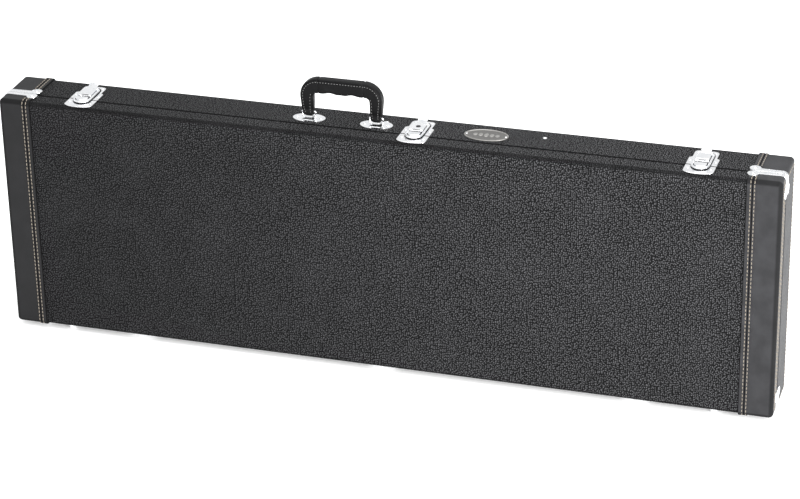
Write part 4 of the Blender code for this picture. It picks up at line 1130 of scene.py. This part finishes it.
def plush_pad(name, bm, glued_y, show_y, body, node, hollows=()):
    """Plush over foam: the block is remade in small even faces, its edges are rounded off, and its middle is
    raised a little, more the further it is from an edge."""
    toward = 1 if show_y > glued_y else -1
    raw = put(f"{name}_foam", mesh_from(name, bm))
    cutters = [
        put("hollow", mesh_from("hollow", slab(rectangle(low, high, 0), low[1], high[1]))) for low, high in hollows
    ]
    for cutter in cutters:
        cut = raw.modifiers.new("hollow", "BOOLEAN")
        cut.operation, cut.solver, cut.object = "DIFFERENCE", "EXACT", cutter
    remesh = raw.modifiers.new("even_faces", "REMESH")
    remesh.mode, remesh.voxel_size = "VOXEL", FOAM_STEP
    soften = raw.modifiers.new("soften", "SMOOTH")
    soften.factor, soften.iterations = 0.5, FOAM_SOFTEN
    made = bmesh.new()
    made.from_mesh(evaluated(raw))
    for thing in (raw, *cutters):
        bpy.data.objects.remove(thing)
    front = [v for v in made.verts if v.normal.y * toward > FACING]
    rim = [v for v in front if any(w.normal.y * toward < FACING for w in (e.other_vert(v) for e in v.link_edges))]
    away = {v: 0.0 for v in rim}
    queue = list(rim)
    while queue:
        v = queue.pop(0)
        for edge in v.link_edges:
            other = edge.other_vert(v)
            further = away[v] + FOAM_STEP
            nearer = further < min(CROWN_REACH * 2, away.get(other, 9) - 1e-6)
            if nearer and other.normal.y * toward > FACING:
                away[other] = further
                queue.append(other)
    for v in front:
        share = min(away.get(v, CROWN_REACH * 2) / CROWN_REACH, 1)
        at = Vector((v.co.x * RIPPLES_PER_METRE, v.co.z * RIPPLES_PER_METRE, glued_y * 90))
        ripple = noise.noise(at) * PAD_RIPPLE
        v.co.y += toward * (PAD_CROWN * sin(share * pi / 2) + ripple * share)
    settle(name, made, plush, body, node, hard=False)


low, high = BACK_PAD
foam = slab(rectangle(low, high, 0.5 * MM), high.y, low.y + PAD_CROWN)
plush_pad("back_pad", foam, high.y, low.y, "body", "body_back_pad")
low, high = LID_PAD
foam = slab(rectangle(low, high, 0.5 * MM), low.y, high.y - PAD_CROWN)
plush_pad("lid_pad_plush", foam, low.y, high.y, "lid", "lid_pad")

wall_z = BLOCK[1].z - MIDDLE_Z
end_x = BLOCK[1].x
block_outline = [(end_x, wall_z), (BLOCK_START, wall_z)]
block_outline += arc_points((BLOCK_START + BOUT_CORNER, NECK_HALF + BOUT_CORNER), BOUT_CORNER, 180, 270, 10)
block_outline += [(HEAD_START, NECK_HALF), (HEAD_START + HEAD_HALF - NECK_HALF, HEAD_HALF)]
block_outline += [(end_x - BLOCK_END_GAP, HEAD_HALF), (end_x - BLOCK_END_GAP, 0.5 * MM), (end_x, 0.5 * MM)]
show_y, glued_y = BLOCK[0].y, BLOCK[1].y
low, high = POCKET_LID
pocket_low = (low.x + POCKET_LEDGE, show_y - CUT_PAST, low.z + POCKET_LEDGE)
pocket_high = (high.x - POCKET_LEDGE, glued_y - POCKET_FLOOR, high.z - POCKET_LEDGE)
ledge_low = (low.x - 1 * MM, show_y - CUT_PAST, low.z - 1 * MM)
ledge_high = (high.x + 1 * MM, high.y, high.z + 1 * MM)
for name, level in (("upper", 1), ("lower", -1)):
    foam = slab([(x, MIDDLE_Z + level * z) for x, z in block_outline], glued_y, show_y + PAD_CROWN)
    hollows = [(pocket_low, pocket_high), (ledge_low, ledge_high)] if level < 0 else []
    plush_pad(f"{name}_block", foam, glued_y, show_y, "body", f"body_{name}_pad", hollows)

low, high = CRADLE
half_z = (high.z - low.z) / 2
front_y, notch_y = low.y + 1 * MM, low.y + NOTCH_DEPTH
profile = [(high.y, -half_z), (high.y, half_z), (front_y, half_z), (front_y, NOTCH_HALF)]
profile += [(notch_y, NOTCH_HALF_BELOW), (notch_y, -NOTCH_HALF_BELOW), (front_y, -NOTCH_HALF), (front_y, -half_z)]
cradle = Maker()
cradle.solid([[(x, y, MIDDLE_Z + z) for y, z in profile] for x in (low.x, high.x)])
plush_pad("cradle_plush", cradle.bm, high.y, low.y, "body", "neck_cradle")


# ---- Pocket lid and ribbon ----
# The lower block holds a pocket for straps and picks. Its lid is a board covered in plush on both sides, with a
# fabric hinge below and a short satin ribbon tucked under its upper edge to pull it up by.

RIBBON_WIDTH = 14 * MM
RIBBON_LENGTH = 44 * MM
RIBBON_SHEET = 0.6 * MM
RIBBON_RIPPLE = 0.15 * MM
RIBBON_ARCH = 2.6 * MM
RIBBON_CLEAR = 1.9 * MM
RIBBON_TUCK = 1.5 * MM

low, high = POCKET_LID
board = slab(rectangle(low, high, 0.6 * MM), high.y, low.y + 0.4 * MM)
plush_pad("pocket_lid_board", board, high.y, low.y, "body", "accessory_pocket_lid")

satin = Finish("satin_ribbon", "plush_lining", Roughness=0.35, Sheen_Weight=0.3)
ribs = satin.place.node("ShaderNodeTexWave", {"Vector": satin.place, "Scale": 320.0}, "Fac", bands_direction="X")
satin.give(Base_Color=ribs.tint((0.02, 0.019, 0.022), (0.06, 0.057, 0.064)))
satin.emboss((ribs, 0.1 * MM, 0.4))
middle_x = (low.x + high.x) / 2
rows = []
for i in range(13):
    share = i / 12
    y = low.y - RIBBON_CLEAR - sin(pi * share) * RIBBON_ARCH * (1 - 0.3 * share)
    z = high.z + RIBBON_TUCK - share * RIBBON_LENGTH
    rows.append([
        (middle_x + (k / 6 - 0.5) * RIBBON_WIDTH, y + RIBBON_RIPPLE * sin(k * 1.7 + i), z) for k in range(7)
    ])
ribbon_mesh = Maker()
ribbon_mesh.skin(rows, closed=False)
ribbon = settle("pocket_ribbon", ribbon_mesh.bm, satin, "body", hard=False)
thicken = ribbon.modifiers.new("thickness", "SOLIDIFY")
thicken.thickness, thicken.offset = RIBBON_SHEET, 0.0


# ---- Room ----
# The case stands on a plain pale floor, faintly lit from below, that runs far past it, so there is no horizon.
# White walls light it evenly, with a large soft lamp overhead and another in front to the right.

CAMERA_PLACE = Vector((1.1828, -3.6128, 2.0267))
CAMERA_YAW, CAMERA_PITCH, CAMERA_ROLL = (radians(angle) for angle in (17.84, 25.83, -1.20))
CAMERA_SENSOR, CAMERA_LENS = 36.0, 124.2
FLOOR_HALF = 30.0

paint = Finish("floor_paint", Roughness=0.6, Emission_Color=(1, 1, 1, 1), Emission_Strength=0.3)
paint.give(Base_Color=paint.noise(400 * MM, 3.0).tint((0.9, 0.9, 0.9), (0.93, 0.93, 0.93)))
floor_mesh = bpy.data.meshes.new("floor")
corners = [(x * FLOOR_HALF, y * FLOOR_HALF, 0) for x, y in ((-1, -1), (1, -1), (1, 1), (-1, 1))]
floor_mesh.from_pydata(corners, [], [(0, 1, 2, 3)])
floor_mesh.materials.append(paint.material)
put("floor", floor_mesh)

world = bpy.data.worlds.new("white_walls")
bpy.context.scene.world = world
world.use_nodes = True
walls = world.node_tree.nodes["Background"].inputs
walls["Color"].default_value, walls["Strength"].default_value = (0.98, 0.99, 1.0, 1), 0.9

for name, place, aim, width, depth, watts in (
    ("lamp_overhead", (0.4, -0.2, 3.2), (0.0, 0.0, 0.2), 4.5, 3.2, 110),
    ("lamp_right", (2.6, -2.2, 1.3), (0.3, 0.0, 0.2), 1.4, 1.4, 140),
):
    lamp = bpy.data.lights.new(name, "AREA")
    lamp.shape, lamp.size, lamp.size_y, lamp.energy = "RECTANGLE", width, depth, watts
    lamp_holder = put(name, lamp)
    lamp_holder.location = place
    lamp_holder.rotation_euler = (Vector(aim) - Vector(place)).to_track_quat("-Z", "Y").to_euler()

camera_data = bpy.data.cameras.new("camera")
camera_data.sensor_width, camera_data.lens = CAMERA_SENSOR, CAMERA_LENS
camera = put("camera", camera_data)
yaw_sin, yaw_cos = sin(CAMERA_YAW), cos(CAMERA_YAW)
level = cos(CAMERA_PITCH)
forward = Vector((-yaw_sin * level, yaw_cos * level, -sin(CAMERA_PITCH)))
level_right = Vector((yaw_cos, yaw_sin, 0))
level_up = level_right.cross(forward)
right = cos(CAMERA_ROLL) * level_right + sin(CAMERA_ROLL) * level_up
up = cos(CAMERA_ROLL) * level_up - sin(CAMERA_ROLL) * level_right
axes = Matrix((right, up, -forward)).transposed()
camera.matrix_world = Matrix.LocRotScale(CAMERA_PLACE, axes.to_quaternion(), None)
bpy.context.scene.camera = camera
bpy.context.scene.view_settings.view_transform = "Standard"
